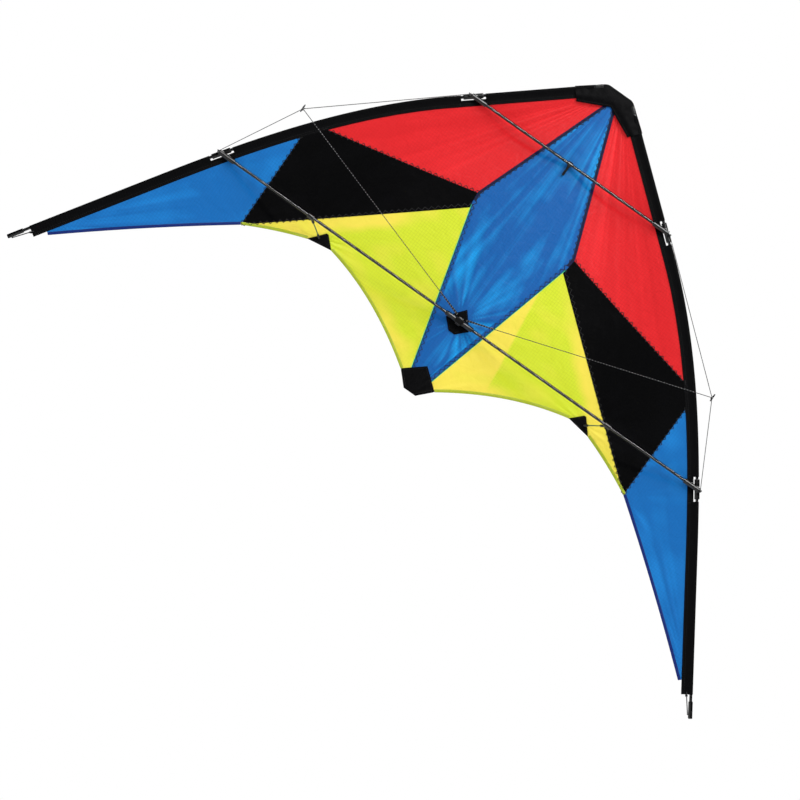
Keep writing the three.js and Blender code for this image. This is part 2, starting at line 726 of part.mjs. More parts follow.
function sail() {
  const { tail, standIn, standOut, foot, hollow } = trailingEdge();
  const upper = spot(DIAMOND_UPPER.x, DIAMOND_UPPER.drop);
  const lower = spot(DIAMOND_LOWER.x, DIAMOND_LOWER.drop);
  const top = spot(DIAMOND_TOP.x, DIAMOND_TOP.drop);
  const diamondFoot = spot(DIAMOND_FOOT.x, TAIL_DROP - DIAMOND_FOOT.rise);
  const redEnd = edgeAtDrop(RED_SEAM_DROP, SAIL_INSET);
  const tipSeam = edgeAtDrop(TIP_SEAM_DROP, SAIL_INSET);
  const under = (from, to, steps) => spots(edgeRun(from, to, SAIL_INSET, steps));

  const windows = [
    neckBox(TEE_NECK, SPAR_DROP, TEE_NECK.up, TEE_NECK.up, WINDOW_SLACK),
    neckBox(KEEPER_NECK, SPREADER_DROP, KEEPER_NECK.above, KEEPER_NECK.below, WINDOW_SLACK),
  ];
  const centre = panel([spot(0, top.y), spot(0, diamondFoot.y)], [top, upper, lower, diamondFoot], 15, 4);
  pair('centre_panel', shaped([centre], windows), blueCloth, at(0, 0, SPAR_DROP));

  const noseEdge = edgeAtDrop(DIAMOND_TOP.drop, SAIL_INSET);
  const red = panel([top, upper], under(noseEdge, redEnd, 12), 10, 6);
  pair('red_panel', red, redCloth, at(upper.x, 0, upper.y));

  const seamEnd = spot(foot.x, foot.y - SEAM_FOOT_RISE);
  const [redOut, tipOut] = under(redEnd, tipSeam, 1);
  const blackTop = [...spaced([upper, redOut], 9), tipOut];
  const black = panel(blackTop, [lower, seamEnd], 10, 5);
  pair('black_panel', black, blackCloth, at(lower.x, 0, lower.y));

  const shareDown = (tail.y - TAIL_SEAM_UP - lower.y) / (diamondFoot.y - lower.y);
  const insideTail = lower.clone().lerp(diamondFoot, shareDown);
  const inner = hollow(tail, standIn, TRAILING_HOLLOW.yellow).getPoints(8);
  const outer = hollow(standOut, foot, TRAILING_HOLLOW.outer).getPoints(6);
  const leech = [insideTail, ...inner, ...outer];
  const yellow = panel([lower, seamEnd], leech, 14, 6);
  pair('yellow_panel', yellow, yellowCloth, at(lower.x, 0, lower.y));

  const tipEdge = under(tipSeam, SLEEVE_END - TIP_PANEL_END.up, 10);
  const tipFoot = tipEdge.at(-1).clone().add(spot(TIP_PANEL_END.x, TIP_PANEL_END.drop));
  const tipLeech = hollow(foot, tipFoot, TRAILING_HOLLOW.tip).getPoints(10);
  const tipPanel = panel(tipEdge, tipLeech, 12, 6);
  pair('tip_panel', tipPanel, blueCloth, at(foot.x, 0, foot.y));
}

// ---------------------------------------------------------------- reinforcements
function patches() {
  const { tail, standIn, standOut } = trailingEdge();
  const { apexIn, apexUp, apexHalf } = STANDOFF_PATCH;
  const back = -SAIL_THICKNESS / 2 - PATCH_GAP;
  const front = back - PATCH_THICKNESS;
  const teeWindow = neckBox(TEE_NECK, SPAR_DROP, TEE_NECK.up, TEE_NECK.up, WINDOW_SLACK);
  const teeOutline = [
    spot(0, SPAR_DROP - TEE_PATCH.above),
    spot(TEE_PATCH.halfWidth, SPAR_DROP + TEE_PATCH.corner),
    spot(TEE_PATCH.foot, SPAR_DROP + TEE_PATCH.below),
    spot(0, SPAR_DROP + TEE_PATCH.below),
  ];
  pair('tee_patch', shaped([flatPatch(teeOutline, front, back)], [teeWindow]), webbing, at(0, 0, SPAR_DROP));

  const tailOutline = [
    spot(0, TAIL_DROP - TAIL_PATCH_RISE),
    tail.clone(),
    spot(DIAMOND_FOOT.x, TAIL_DROP),
    spot(0, TAIL_DROP),
  ];
  pair('tail_patch', flatPatch(tailOutline, front, back), webbing, at(0, 0, TAIL_DROP));

  const apex = spot(STANDOFF_FOOT.x - apexIn, STANDOFF_FOOT.drop - apexUp);
  const standPatch = panel(
    [apex.clone().add(spot(-apexHalf, 0)), standIn],
    [apex.clone().add(spot(apexHalf, 0)), standOut],
    4,
    4,
    SAIL_THICKNESS / 2 + PATCH_GAP + PATCH_THICKNESS,
    PATCH_THICKNESS,
  );
  pair('standoff_patch', standPatch, webbing, at(apex.x, 0, apex.y));
}

function noseCover() {
  const { arm, width, top, apexDrop, wall } = NOSE_COVER;
  const capRadius = ROD_RADIUS + FIT + CAP_WALL;
  const front = -capRadius - FIT - wall;
  const back = SPINE_PLANE + capRadius + FIT + wall;
  // Where a line beside the straight upper edge passes a drop.
  const beside = (inset, drop) => {
    const from = edgePoint(0, inset);
    return spot(from.x - (noseWay.x / noseWay.z) * (drop + from.z), drop);
  };
  const rim = edgePoint(arm, -COVER_SLACK);
  const inner = edgePoint(arm, width);
  const outline = [
    spot(0, top),
    beside(-COVER_SLACK, top),
    spot(rim.x, -rim.z),
    spot(inner.x, -inner.z),
    spot(0, apexDrop),
  ];
  const wayOut = width * 4;
  const past = edgePoint(arm + width, wall - COVER_SLACK);
  const hollow = [
    spot(-wall, top + wall),
    beside(wall - COVER_SLACK, top + wall),
    spot(past.x, -past.z),
    spot(past.x - wayOut, -past.z + wayOut),
    spot(-wall, apexDrop + wayOut),
  ];
  const cover = shaped(
    [flatPatch(outline, front, back)],
    [flatPatch(hollow, front + wall, back - wall)],
  );
  pair('nose_cover', cover, webbing, at(0, 0, apexDrop));
}

// ---------------------------------------------------------------- bridle
function leg(name, start, tow) {
  const way = tow.clone().sub(start).normalize();
  const end = tow.clone().addScaledVector(way, -(KNOT_RADIUS + FIT));
  const points = [0, 0.25, 0.5, 0.75, 1].map((share) => start.clone().lerp(end, share));
  const line = sweep(circle(LINE_RADIUS, 8), null, points);
  pair(name, line, bridleLine, start);
}

const LEG_START = { beside: 6, x: 10, forward: 2, up: 8 };
const LOOP_RADIUS = 0.75;       // the loop's line is doubled

function bridle() {
  const tow = at(TOW.x, -TOW.forward, TOW.drop);
  const beside = new THREE.Vector3(LEG_START.beside, ROD_PLANE, 0);
  leg('bridle_upper_leg', upperJoint.clone().add(beside), tow);
  leg('bridle_lower_leg', lowerJoint.clone().add(beside), tow);
  const centre = at(LEG_START.x, ROD_PLANE - LEG_START.forward, SPAR_DROP - LEG_START.up);
  leg('bridle_centre_leg', centre, tow);

  const knot = new THREE.IcosahedronGeometry(KNOT_RADIUS, 1).translate(tow.x, tow.y, tow.z);
  const loop = new THREE.TorusGeometry(TOW_LOOP_RADIUS, LOOP_RADIUS, 8, 18);
  loop.rotateY(Math.PI / 2);
  loop.translate(tow.x, tow.y - KNOT_RADIUS - TOW_LOOP_RADIUS + CLEAR, tow.z);
  pair('tow_loop', shaped([knot, loop]), bridleLine, tow);
}

spine();
centreTee();
upperSpreader();
leadingEdges();
sleeves();
connector('upper_connector', upperJoint, upperAlong);
connector('lower_connector', lowerJoint, lowerAlong);
lowerSpars();
standoffs();
sail();
patches();
noseCover();
bridle();

export default kite;
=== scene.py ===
"""Two-line delta stunt kite in flying trim: sail, rods, fittings, bridle and a plain studio, in metres."""

import bisect
import math

import bmesh
import bpy
from bpy.props import FloatProperty, FloatVectorProperty, PointerProperty
from mathutils import Matrix, Vector, noise


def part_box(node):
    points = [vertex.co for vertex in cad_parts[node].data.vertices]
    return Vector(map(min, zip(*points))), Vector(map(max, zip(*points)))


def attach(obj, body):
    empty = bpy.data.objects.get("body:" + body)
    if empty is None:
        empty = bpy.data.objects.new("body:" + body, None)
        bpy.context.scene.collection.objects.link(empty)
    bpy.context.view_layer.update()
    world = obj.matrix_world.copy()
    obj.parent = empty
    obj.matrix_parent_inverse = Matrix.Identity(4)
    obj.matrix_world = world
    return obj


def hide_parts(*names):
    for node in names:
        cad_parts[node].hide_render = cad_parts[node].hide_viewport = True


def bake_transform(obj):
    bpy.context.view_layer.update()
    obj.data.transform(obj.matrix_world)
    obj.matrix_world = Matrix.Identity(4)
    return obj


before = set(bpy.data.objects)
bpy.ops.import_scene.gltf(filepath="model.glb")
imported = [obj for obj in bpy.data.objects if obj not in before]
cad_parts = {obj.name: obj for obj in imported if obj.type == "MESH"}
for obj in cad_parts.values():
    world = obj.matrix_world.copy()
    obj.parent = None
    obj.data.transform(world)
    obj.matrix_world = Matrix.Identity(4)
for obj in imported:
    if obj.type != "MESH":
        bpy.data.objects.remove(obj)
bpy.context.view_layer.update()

bl_info = {
    "name": "Delta Stunt Kite",
    "version": (1, 0, 0),
    "blender": (4, 5, 0),
    "location": "3D View > Sidebar > Kite",
    "description": "Builds the sail, frame fittings and bridle of a two-line delta kite round its rods",
    "category": "Add Mesh",
}

MM = 0.001
SIDES = {"left": -1, "right": 1}

# ---------------------------------------------------------------- places taken from the frame
SPINE_LOW, SPINE_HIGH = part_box("spine_rod")
HALF_FACET = math.radians(18)    # the frame's rods have ten flats, two of them square to X
ROD_RADIUS = (SPINE_HIGH.x - SPINE_LOW.x) / 2 / math.cos(HALF_FACET)
SPINE_PLANE = 6.5 * MM          # depth of the spine behind the sail
SPINE_TOP_DROP = 10 * MM
SAIL_Y = (SPINE_LOW.y + SPINE_HIGH.y) / 2 - SPINE_PLANE
ROD_PLANE = (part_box("upper_spreader")[0].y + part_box("upper_spreader")[1].y) / 2 - SAIL_Y
NOSE_Z = SPINE_HIGH.z + SPINE_TOP_DROP
TAIL_DROP = NOSE_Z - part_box("spine_tail_cap")[0].z
SPREADER_DROP = NOSE_Z - (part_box("upper_spreader")[0].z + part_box("upper_spreader")[1].z) / 2
SPAR_DROP = NOSE_Z - (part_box("right_lower_spar")[0].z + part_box("right_lower_spar")[1].z) / 2

# ---------------------------------------------------------------- the cut of the sail
HALF_SPAN, TIP_DROP = 688 * MM, 762 * MM
NOSE_HALF_WIDTH = 26 * MM
UPPER_BEND = (233 * MM, 172 * MM)
TIP_STRAIGHT = (0.192 * HALF_SPAN, 201 * MM)
EDGE_FULLNESS = 0.33
TIP_EXTENSION = 36 * MM
AXIS_INSET = 3.3 * MM
SLEEVE_START = 24 * MM
BILLOW = 43 * MM                # how far the wind sets the sail back at the stand-offs' drop
BILLOW_GROWTH = 1.15            # and how many times that at most, further down
STANDOFF_X = HALF_SPAN - 381 * MM
STANDOFF_FOOT = (STANDOFF_X - 31 * MM, 495 * MM)
DIAMOND_TOP = (10 * MM, 30 * MM)
DIAMOND_UPPER = (101 * MM, 275 * MM)
DIAMOND_LOWER = (98 * MM, 299 * MM)
DIAMOND_FOOT = (12 * MM, TAIL_DROP)
RED_SEAM_DROP, TIP_SEAM_DROP = 340 * MM, 362 * MM
SEAM_FOOT = (399 * MM, 553 * MM)
TAIL_CORNER = (35 * MM, TAIL_DROP - 24 * MM)
STANDOFF_INNER = (248 * MM, 500 * MM)
STANDOFF_OUTER = (293 * MM, 507 * MM)
TOW = (400 * MM, -340 * MM, 350 * MM)           # x, depth and drop of a tow loop's knot
SEAM_INSET = 12 * MM            # the panels end under the sleeve, this far inside its outer edge
CLOTH_INSET = 20.3 * MM         # and show from here on
TIP_CLOTH_END = 26 * MM         # the tip cloth stops this far short of the sleeve's end
HOLLOW_POINTS = 25              # points on each hollow stretch of the trailing edge

# ---------------------------------------------------------------- tapes, stitches and rods
TAPE_HALF, TAPE_BARREL = 0.75 * MM, 3.35 * MM   # half the folded tape's thickness, and its fold's radius
TAPE_NOTCH, WINDOW = 9.1 * MM, 21 * MM          # depth of a window, and half its length
TAPE_THICKNESS, PATCH_LIFT = 0.7 * MM, 0.95 * MM
STITCH = (0.12 * MM, 0.26 * MM, 0.12 * MM)      # radii along one stitch
ROD_BORE = 1.8 * MM

# pattern scales, as repeats in a metre: clouds 110 mm across, puckers 14 mm, fuzz 4 mm, orange peel
# 1.1 mm, scuffs 5 mm, scratches 1.4 mm, floor specks 17 mm, and fibres 0.4 mm across
CLOUDS, PUCKERS, FUZZ, ORANGE_PEEL = 9.0, 70.0, 240.0, 900.0
SCUFFS, SCRATCHES, SPECKS, FIBRES = 210.0, 700.0, 60.0, 2600.0


def linear(code):
    """An sRGB hex colour as linear red, green and blue."""
    parts = [int(code[i:i + 2], 16) / 255 for i in (1, 3, 5)]
    return tuple(c / 12.92 if c <= 0.04045 else ((c + 0.055) / 1.055) ** 2.4 for c in parts)


def length(name, description, default):
    """A distance that a user may change."""
    return FloatProperty(name=name, description=description, default=default, min=0, unit="LENGTH")


def colour(name, description, code):
    """A colour that a user may change, from an sRGB hex value."""
    return FloatVectorProperty(
        name=name, description=description, default=linear(code), size=3, min=0, max=1, subtype="COLOR"
    )


class KiteSizes(bpy.types.PropertyGroup):
    """Sizes of the cloth work and cords."""

    sleeve_width: length("Sleeve width", "Width of the leading-edge tape", 20 * MM)
    cloth: length("Cloth thickness", "Thickness that the sail cloth is drawn with", 0.3 * MM)
    grid: length("Mesh step", "Distance between the sail's mesh lines", 3.2 * MM)
    hem: length("Hem width", "Width of the rolled hem on the trailing edge", 5 * MM)
    lap: length("Seam lap", "Width that two panels overlap at a seam", 8.5 * MM)
    stitch: length("Zigzag length", "Length of one zigzag of a seam's stitching", 11 * MM)
    thread: length("Thread radius", "Radius of the sewing thread, drawn coarse enough to show", 0.7 * MM)
    line: length("Bridle line", "Diameter of the bridle line", 1.2 * MM)
    crease: length("Crease height", "Height of the tension creases in the sail", 1.5 * MM)
    ripstop: length("Ripstop pitch", "Distance between the thick threads of the ripstop weave", 5 * MM)


class KiteColours(bpy.types.PropertyGroup):
    """Colours of the cloth, rods and cords."""

    # each cloth's sheen colour is a painted highlight for its creases, and the yellow sheen is painted
    # sunlight coming through
    red: colour("Red cloth", "Upper panels", "#DE1A20")
    red_light: colour("Red sheen", "Upper panels on their creases", "#EE2228")
    blue: colour("Blue cloth", "Centre panel", "#005CA8")
    blue_light: colour("Blue sheen", "Centre panel on its creases", "#0A9BE4")
    tip: colour("Tip cloth", "Wing-tip panels", "#0069B6")
    tip_light: colour("Tip sheen", "Wing-tip panels on their creases", "#0E82D2")
    yellow: colour("Yellow cloth", "Trailing-edge panels", "#D3E02A")
    gold: colour("Yellow sheen", "Trailing-edge panels where the light comes through", "#F2DE4E")
    black: colour("Black cloth", "Middle panels, tapes and patches", "#030304")
    # painted shade: these lap and hem colours paint the doubled cloth darker and greener, as less light
    # comes through it
    navy: colour("Lapped seam", "Blue cloth over red cloth", "#07103C")
    lap: colour("Lower lap", "Blue cloth over yellow cloth, within the stitching", "#00539E")
    bottle: colour("Lapped seam below", "Blue cloth over yellow cloth", "#0A4048")
    mint: colour("Seam edge", "Raw edge between the blue and the yellow cloth", "#3CCB9A")
    olive: colour("Yellow hem", "Rolled hem of the yellow cloth", "#A9B72A")
    tip_hem: colour("Tip hem", "Rolled hem of the tip cloth", "#00226E")
    carbon: colour("Carbon rod", "Pultruded rods", "#060608")
    glass_fibre: colour("Stand-off rod", "Solid glass-fibre rods", "#40603A")
    vinyl: colour("Fittings", "Moulded vinyl", "#040405")
    line_dark: colour("Line", "Bridle line", "#15161A")
    line_fleck: colour("Line fleck", "Tracer thread in the bridle line", "#9A9A98")


# ---------------------------------------------------------------- the curved leading edge
def bezier(points, share):
    """A point on a Bezier curve of any degree."""
    while len(points) > 1:
        points = [a.lerp(b, share) for a, b in zip(points, points[1:])]
    return points[0]


class LeadingEdge:
    """The sleeve's outer edge in (x, drop), from the nose to past the tip, by distance along it."""

    def __init__(self):
        nose, upper = Vector((NOSE_HALF_WIDTH, 0)), Vector(UPPER_BEND)
        tip = Vector((HALF_SPAN, TIP_DROP))
        lower = tip - Vector(TIP_STRAIGHT)
        first, last = (upper - nose).normalized(), (tip - lower).normalized()
        handle = (lower - upper).length * EDGE_FULLNESS
        bend = [upper, upper + first * handle, lower - last * handle, lower]
        steps = 300
        self.points = [nose.lerp(upper, i / steps) for i in range(steps)]
        self.points += [bezier(bend, i / steps) for i in range(steps)]
        self.points += [lower.lerp(tip + last * TIP_EXTENSION, i / steps) for i in range(steps + 1)]
        self.run = [0.0]
        for a, b in zip(self.points, self.points[1:]):
            self.run.append(self.run[-1] + (b - a).length)
        self.length = self.run[-1]
        self.sleeve_end = self.length - TIP_EXTENSION
        self.reach = [self.point(s * self.length / steps, CLOTH_INSET) for s in range(steps + 1)]

    def after(self, along):
        """Which of the edge's points comes next after that distance."""
        return min(max(bisect.bisect(self.run, along), 1), len(self.run) - 1)

    def way(self, along):
        """Unit direction of the edge there."""
        k = self.after(along)
        return (self.points[k] - self.points[k - 1]).normalized()

    def point(self, along, inset=0.0):
        """A point at that distance along the edge and that far inside it."""
        k = self.after(along)
        share = (along - self.run[k - 1]) / (self.run[k] - self.run[k - 1])
        way = self.way(along)
        return self.points[k - 1].lerp(self.points[k], share) + Vector((-way.y, way.x)) * inset

    def at_drop(self, drop, inset=0.0):
        """How far along the edge its inset line has come down to a drop."""
        low, high = 0.0, self.length
        for _ in range(40):
            middle = (low + high) / 2
            low, high = (middle, high) if self.point(middle, inset).y < drop else (low, middle)
        return (low + high) / 2

    def line(self, start, end, inset, count):
        """Points on the inset line, evenly spaced."""
        return [self.point(start + (end - start) * i / (count - 1), inset) for i in range(count)]

    def reach_at(self, drop):
        """How far out the cloth reaches at a drop, to the inner edge of the sleeve."""
        k = min(max(bisect.bisect([p.y for p in self.reach], drop), 1), len(self.reach) - 1)
        a, b = self.reach[k - 1], self.reach[k]
        return a.x + (b.x - a.x) * (drop - a.y) / (b.y - a.y)


EDGE = LeadingEdge()
UPPER_ALONG = EDGE.at_drop(SPREADER_DROP, AXIS_INSET)
LOWER_ALONG = EDGE.at_drop(SPAR_DROP, AXIS_INSET)


def set_back(x, drop):
    """How far the wind sets the sail back at a place."""
    share = min(max(x / EDGE.reach_at(drop), 0), 1)
    return BILLOW * min(drop / STANDOFF_FOOT[1], BILLOW_GROWTH) * math.sin(math.pi * share)


def smooth(low, high, value):
    """0 below low, 1 above high and a smooth step between."""
    t = min(max((value - low) / (high - low), 0), 1)
    return t * t * (3 - 2 * t)


def fan(x, drop, centre, count, reach, seed):
    """Creases that spread from a pulled point and die away with distance."""
    dx, dd = x - centre[0], drop - centre[1]
    far = math.hypot(dx, dd)
    ridge = noise.noise(Vector((math.atan2(dx, dd) * count, seed, far * 2.5)))
    return ridge * smooth(0, 40 * MM, far) * math.exp(-far / reach)


# where the sail is pulled: x, drop, how many creases, how far they reach, how strong they are
PULLS = [
    (0, -10 * MM, 16, 0.75, 0.6),
    (0, -10 * MM, 38, 0.6, 0.55),
    (0, SPAR_DROP, 9, 0.14, 0.8),
    (0, TAIL_DROP + 5 * MM, 8, 0.11, 1.2),
    (*STANDOFF_FOOT, 5, 0.09, 1.5),
    (*SEAM_FOOT, 6, 0.08, 0.8),
    (HALF_SPAN, TIP_DROP, 26, 0.35, 0.9),
]


def creases(x, drop, side):
    """Height of the creases at a place, from about -1 to 1."""
    total = sum(
        strength * fan(x, drop, (cx, cd), count, reach, 7.3 * k + 2 * side)
        for k, (cx, cd, count, reach, strength) in enumerate(PULLS)
    )
    # and slack folds between the pulls
    total += 0.35 * noise.noise(Vector((x / (70 * MM), drop / (110 * MM), 4.0 * side)))
    spare = EDGE.reach_at(drop) - x
    return total * smooth(0, 25 * MM, spare) * smooth(0, 14 * MM, x)


def place(x, depth, drop, side=1):
    """A point of the kite in the frame. Depth is measured back from the sail's own plane."""
    return Vector((side * x, SAIL_Y + depth, NOSE_Z - drop))


def on_sail(x, drop, side, lift=0.0):
    """A point on the sail's front, lifted off it towards the flyer."""
    sizes = bpy.context.scene.kite_sizes
    return place(x, set_back(x, drop) + creases(x, drop, side) * sizes.crease - lift, drop, side)


def spaced(points, count):
    """The points of a line again, that many of them and evenly spaced."""
    run = [0.0]
    for a, b in zip(points, points[1:]):
        run.append(run[-1] + (b - a).length)
    placed = []
    for i in range(count):
        target = run[-1] * i / (count - 1)
        k = min(max(bisect.bisect_left(run, target), 1), len(run) - 1)
        share = (target - run[k - 1]) / (run[k] - run[k - 1])
        placed.append(points[k - 1].lerp(points[k], share))
    return placed


def run_of(points):
    """The length of a line of points."""
    return sum((b - a).length for a, b in zip(points, points[1:]))


def distance_to(line, point):
    """Distance from a point to a line of points, in (x, drop)."""
    nearest = 1.0
    for a, b in zip(line, line[1:]):
        along = b - a
        share = min(max((point - a).dot(along) / max(along.length_squared, 1e-12), 0), 1)
        nearest = min(nearest, (point - a - along * share).length)
    return nearest


def hollow(start, end, depth):
    """A trailing edge cut hollow between two corners."""
    middle = (start + end) / 2 - Vector((0, depth))
    return [bezier([start, middle, end], i / (HOLLOW_POINTS - 1)) for i in range(HOLLOW_POINTS)]


def seam_lines():
    """The seams and hems of one wing, in (x, drop)."""
    top, upper, lower = Vector(DIAMOND_TOP), Vector(DIAMOND_UPPER), Vector(DIAMOND_LOWER)
    foot, tail = Vector(DIAMOND_FOOT), Vector(TAIL_CORNER)
    inner, outer, seam_foot = Vector(STANDOFF_INNER), Vector(STANDOFF_OUTER), Vector(SEAM_FOOT)
    red_end = EDGE.point(EDGE.at_drop(RED_SEAM_DROP, SEAM_INSET), SEAM_INSET)
    tip_start = EDGE.point(EDGE.at_drop(TIP_SEAM_DROP, SEAM_INSET), SEAM_INSET)
    tip_foot = EDGE.point(EDGE.sleeve_end - TIP_CLOTH_END, CLOTH_INSET) + Vector((-3 * MM, 5 * MM))
    return {
        "centre_red": [top, upper],
        "centre_black": [upper, lower],
        "centre_yellow": [lower, foot],
        "red_black": [upper, red_end],
        "black_yellow": [lower, seam_foot],
        "black_tip": [seam_foot, tip_start],
        "yellow_hem": hollow(tail, inner, 26 * MM) + hollow(outer, seam_foot, 5 * MM),
        "tip_hem": hollow(seam_foot, tip_foot, 7 * MM),
    }


SEAMS = seam_lines()


# ---------------------------------------------------------------- mesh building
def heading(points, k):
    """The way a line of points runs at one of them."""
    return points[min(k + 1, len(points) - 1)] - points[max(k - 1, 0)]


def ruled(first, second, tall, wide):
    """Rows of points from one line across to another."""
    edges = zip(spaced(first, tall), spaced(second, tall))
    return [[a.lerp(b, j / (wide - 1)) for j in range(wide)] for a, b in edges]


def between(first, second, count):
    """The outline of what lies between two lines."""
    return spaced(first, count) + spaced(second, count)[::-1]


class Shape:
    """Vertices, faces, cloth coordinates and painted values gathered for one piece."""

    def __init__(self):
        self.points, self.faces, self.uvs = [], [], []
        self.values = {}

    def rings(self, path, radii, sides=12, loop=False, flat=1.0, up=Vector((0, 1, 0))):
        """Joins round sections along a path. With loop the last one joins the first."""
        base, count = len(self.points), len(path)
        radii = radii if hasattr(radii, "__len__") else [radii] * count
        along = 0.0
        side_way = None
        for i, centre in enumerate(path):
            way = heading(path, i)
            if side_way is None:
                reference = up if abs(way.normalized().dot(up)) < 0.9 else Vector((1, 0, 0))
                side_way = way.cross(reference).normalized()
            side_way = (side_way - way * side_way.dot(way) / way.length_squared).normalized()
            across = way.cross(side_way).normalized()
            along += (centre - path[i - 1]).length if i else 0
            for k in range(sides):
                turn = 2 * math.pi * k / sides
                self.points.append(
                    centre + side_way * math.cos(turn) * radii[i] + across * math.sin(turn) * radii[i] * flat
                )
                self.uvs.append((turn * max(radii), along))
        for i in range(count if loop else count - 1):
            a, b = base + i * sides, base + (i + 1) % count * sides
            for k in range(sides):
                n = (k + 1) % sides
                self.faces.append((a + k, a + n, b + n, b + k))
        if not loop:
            self.faces.append(tuple(base + k for k in reversed(range(sides))))
            self.faces.append(tuple(base + (count - 1) * sides + k for k in range(sides)))
        return self

    def rod(self, path, radius, bore, sides=20, depth=12 * MM, chamfer=0.25 * MM):
        """A rod with chamfered ends and shallow bores, of which the near one lies behind a closed face."""
        near, far = (path[1] - path[0]).normalized(), (path[-1] - path[-2]).normalized()
        outside = [path[0], path[0] + near * chamfer, *path[1:-1], path[-1] - far * chamfer, path[-1]]
        radii = [radius - chamfer, *[radius] * (len(outside) - 2), radius - chamfer, bore, bore]
        self.rings([*outside, path[-1], path[-1] - far * depth], radii, sides)
        self.rings([path[0], path[0] + near * depth], [bore, bore * 0.999], sides)
        del self.faces[-2]
        return self

    def grid(self, rows, thickness, uv=None, values=None):
        """A sheet through rows of points, with its own thickness and closed edges."""
        base = len(self.points)
        tall, wide = len(rows), len(rows[0])
        middle = [p for row in rows for p in row]
        normals = [
            heading([row[j] for row in rows], i).cross(heading(rows[i], j)).normalized()
            for i in range(tall) for j in range(wide)
        ]
        for face in (0.5, -0.5):
            self.points += [p + n * thickness * face for p, n in zip(middle, normals)]
            self.uvs += uv or [(p.x, p.z) for p in middle]
            for name, numbers in (values or {}).items():
                self.values.setdefault(name, []).extend(numbers)
        layer = tall * wide
        for i in range(tall - 1):
            for j in range(wide - 1):
                a = base + i * wide + j
                corners = (a, a + 1, a + wide + 1, a + wide)
                self.faces += [corners, tuple(c + layer for c in reversed(corners))]
        rim = [*range(wide), *[i * wide + wide - 1 for i in range(1, tall)]]
        rim += [(tall - 1) * wide + j for j in reversed(range(wide - 1))]
        rim += [i * wide for i in reversed(range(1, tall - 1))]
        for a, b in zip(rim, rim[1:] + rim[:1]):
            self.faces.append((base + a, base + a + layer, base + b + layer, base + b))
        return self

    def make(self, name, material, slot, sharp=40):
        """The piece as an object with its material."""
        mesh = bpy.data.meshes.new(name)
        mesh.from_pydata(self.points, [], self.faces)
        layer = mesh.uv_layers.new(name="Cut")
        for loop in mesh.loops:
            layer.data[loop.index].uv = self.uvs[loop.vertex_index]
        for key, numbers in self.values.items():
            mesh.attributes.new(key, "FLOAT", "POINT").data.foreach_set("value", numbers)
        work = bmesh.new()
        work.from_mesh(mesh)
        bmesh.ops.recalc_face_normals(work, faces=work.faces)
        work.to_mesh(mesh)
        work.free()
        mesh.shade_smooth()
        mesh.set_sharp_from_angle(angle=math.radians(sharp))
        mesh.materials.append(MATERIALS[material])
        made = bpy.data.objects.new(name, mesh)
        bpy.context.scene.collection.objects.link(made)
        return made


def turn_at_spine(piece):
    """Bakes the placement of a piece that starts at the spine into its mesh."""
    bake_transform(piece)


def moulded(node, voxel):
    """A vinyl moulding: the fitting's solid with its facets and edges melted round."""
    made = bpy.data.objects.new(node + "_moulding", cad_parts[node].data.copy())
    bpy.context.scene.collection.objects.link(made)
    remesh = made.modifiers.new("Skin", "REMESH")
    remesh.mode = "VOXEL"
    remesh.voxel_size = voxel
    made.modifiers.new("Melt", "SMOOTH").iterations = 4
    mesh = bpy.data.meshes.new_from_object(made.evaluated_get(bpy.context.evaluated_depsgraph_get()))
    made.modifiers.clear()
    copied, made.data = made.data, mesh
    bpy.data.meshes.remove(copied)
    mesh.materials.clear()
    mesh.materials.append(MATERIALS["vinyl"])
    mesh.shade_smooth()
    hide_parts(node)
    return made


# ---------------------------------------------------------------- materials
MATERIALS = {}


def add(tree, kind, inputs, out=0, **settings):
    """Adds a shader node, sets its fields, sets or links its inputs, and gives one of its outputs."""
    made = tree.nodes.new("ShaderNode" + kind)
    for field, value in settings.items():
        setattr(made, field, value)
    for socket, value in inputs.items():
        if isinstance(value, bpy.types.NodeSocket):
            tree.links.new(value, made.inputs[socket])
        else:
            made.inputs[socket].default_value = value
    return made.outputs[out] if made.outputs else None


def new_material(name):
    """An empty material and its node tree."""
    material = bpy.data.materials.new(name)
    material.use_nodes = True
    material.node_tree.nodes.clear()
    return material, material.node_tree


def finish(tree, inputs):
    """Joins a Principled shader with these inputs to the material's output."""
    add(tree, "OutputMaterial", {"Surface": add(tree, "BsdfPrincipled", inputs)})


def rgba(value, times=1.0, plus=0.0):
    """A colour with full alpha, brightened where asked."""
    return (*[c * times + plus for c in value[:3]], 1.0)


def bands(pitch):
    """The scale at which a wave texture's bands are that far apart."""
    return 2 * math.pi / pitch / 20


